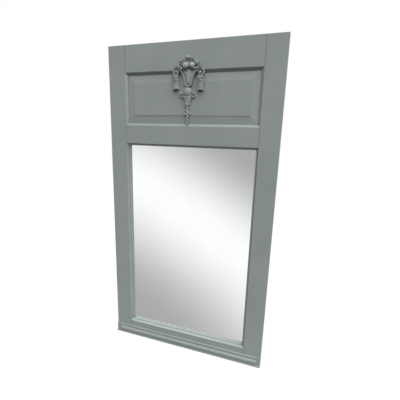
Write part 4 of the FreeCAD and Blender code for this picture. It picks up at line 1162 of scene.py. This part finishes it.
def dress_frame():
    """The finish of every node that isn't carved anew."""
    dress(painted("stile_paint", UPRIGHT, dents=STILE_DENTS, bare_back=True),
          "left_stile", "right_stile")
    dress(painted("rail_paint", LEVEL, rubbed=RAIL_RUBS, bare_back=True, hairline=0.85),
          "top_rail", "middle_rail", "bottom_rail")
    # The panel's arrises are lightened more than the rest: edge wear and a painted highlight on the
    # field's edge.
    dress(painted("panel_paint", LEVEL, bare_back=True, wear=0.35), "raised_panel")

    # The mouldings' paints are darkened deeply where shut in: painted shade with dust.
    dress(painted("panel_edge_paint_upright", UPRIGHT, crevice_reach=0.010, crevice_depth=0.75,
                  wear=0.25), "panel_moulding_left", "panel_moulding_right")
    dress(painted("panel_edge_paint_level", LEVEL, crevice_reach=0.010, crevice_depth=0.75,
                  wear=0.25), "panel_moulding_bottom")
    # The top moulding faces down: its darker coat and deep crevice darkening are painted shade.
    dress(painted("panel_head_shaded_paint", LEVEL, crevice_reach=0.014, crevice_depth=0.9, wear=0.1,
                  coats=(PAINT_SHADED, PAINT_SHADED)), "panel_moulding_top")
    dress(painted("mirror_edge_paint_upright", UPRIGHT, crevice_reach=0.006, crevice_depth=0.6,
                  wear=0.1), "mirror_moulding_left", "mirror_moulding_right")
    dress(painted("mirror_edge_paint_level", LEVEL, crevice_reach=0.008, crevice_depth=0.85,
                  wear=0.2), "mirror_moulding_top")
    # The mirror's foot faces up: its lighter coat is painted light, and its hollow is darkened with
    # painted shade and dust.
    dress(painted("mirror_foot_paint", LEVEL, crevice_reach=0.008, crevice_depth=0.85, wear=0.2,
                  rubbed=FOOT_CHIPS, coats=(PAINT_LIT, PAINT_LIT)),
          "mirror_moulding_bottom")

    dress(painted("base_paint", LEVEL, wear=0.30), "base_moulding")
    # The lip is darkened where shut in near the floor: painted shade with dust.
    dress(painted("lip_paint", LEVEL, crevice_reach=0.010, crevice_depth=0.6, wear=0.1),
          "base_lip")
    dress(painted("block_paint", UPRIGHT, wear=0.25), "base_block_left", "base_block_right")

    dress(silvered_glass("silvered_glass"), "mirror_glass")
    dress(bare_wood("back_board_wood", UPRIGHT, BOARD_PALE, BOARD_DARK), "back_board")
    dress(bare_wood("peg_wood", ALL_WAYS, PEG_PALE, PEG_DARK), "tenon_pegs")
    dress(steel("plate_steel", PLATE_STEEL, rough=0.30), "hanger_plate_left", "hanger_plate_right")
    dress(steel("screw_steel", SCREW_STEEL, rough=0.32), "hanger_screws", "board_pins")


def less_shaded_paint():
    """Paint of the smooth round parts, with only light painted shade in their hollows."""
    rubbed = [(trophy_spot(LOWER_X - 0.001, BOSS_Z + 0.003, 0.0135), 0.0040, ROSE_BEIGE)]
    return painted("less_shaded_paint", ALL_WAYS, crevice_reach=0.003, crevice_depth=0.45, wear=0.0,
                   rubbed=rubbed)


def carving_paint():
    """Paint of the deep carving, with old dust and painted shade in its hollows."""
    rubbed = [(trophy_spot(-0.006, 0.047, 0.018), 0.0034, ROSE_BEIGE)]
    return painted("carving_paint", ALL_WAYS, crevice_reach=0.006, crevice_depth=0.60, wear=0.30,
                   rubbed=rubbed)


def lit_rubbed_paint():
    """Paint of the fruits: a lighter coat that is painted light, thin where hands have rubbed it.
    """
    rubbed = [(trophy_spot(-0.0185, 0.0085, 0.019), 0.0048, OCHRE),
              (trophy_spot(0.0125, 0.0095, 0.020), 0.0048, ROSE_BEIGE)]
    return painted("lit_rubbed_paint", ALL_WAYS, crevice_reach=0.003, crevice_depth=0.45, wear=0.0,
                   rubbed=rubbed, coats=(PAINT_LIT, PAINT_LIT))


def knot_paint():
    """Paint of the knots and curls: lighter coats, painted light, mixed in soft clouds."""
    return painted("knot_paint", ALL_WAYS, crevice_reach=0.003, crevice_depth=0.35, wear=0.0,
                   coats=(PAINT_LIGHT, PAINT_LIT))


def make_pair(label, shell, node_prefix, material, **options):
    """The same carving on the right and, mirrored, on the left."""
    for name, mirror in (("right", False), ("left", True)):
        half = moved(shell, mirror=mirror)
        piece = make_piece(f"{label}_{name}", half, **options)
        settle(piece, material, f"{node_prefix}_{name}")


def carve_trophy():
    """Every carved piece, planted in the place of its own node and painted."""
    # The carvings' paints darken their hollows with painted shade; the fruits' and the knots'
    # paints are lighter coats that are painted light.
    dust_and_shade = carving_paint()
    rubbed = lit_rubbed_paint()
    less_shaded = less_shaded_paint()
    light = knot_paint()
    settle(crest_leaves(), dust_and_shade, "crest_spray")
    settle(scrolled_strap(), dust_and_shade, "scroll_strap")
    settle(shield_field(), dust_and_shade, "shield_plate")
    settle(volute_balls(), less_shaded, "scroll_eyes")
    settle(bell(), dust_and_shade, "bell_drop")
    settle(garland(), dust_and_shade, "husk_garland")
    boss = make_piece("round_boss", boss_shell(), carrier_y=FIELD_Y, shift=LOWER_X)
    settle(boss, less_shaded, "boss")
    for name, side in (("right", 1), ("left", -1)):
        settle(make_piece(f"fruit_carved_{name}", fruit_shell(side)), rubbed, f"fruit_{name}")
    make_pair("arm_leaf_carved", arm_leaf_shell(), "arm_leaf", dust_and_shade, voxel=VOXEL * 0.8, smooth=2)
    make_pair("knot_carved", knot_shell(), "knot", light, voxel=VOXEL * 0.7, smooth=1)
    make_pair("tassel_carved", tassel_shell(), "tassel", dust_and_shade)
    make_pair("curl_carved", curl_shell(), "curl", light, carrier_y=FIELD_Y,
              voxel=VOXEL * 0.7, smooth=1, shift=LOWER_X)


bpy.context.scene.view_settings.view_transform = "Standard"
make_camera()
make_sun()
make_world()
make_floor()
dress_frame()
carve_trophy()
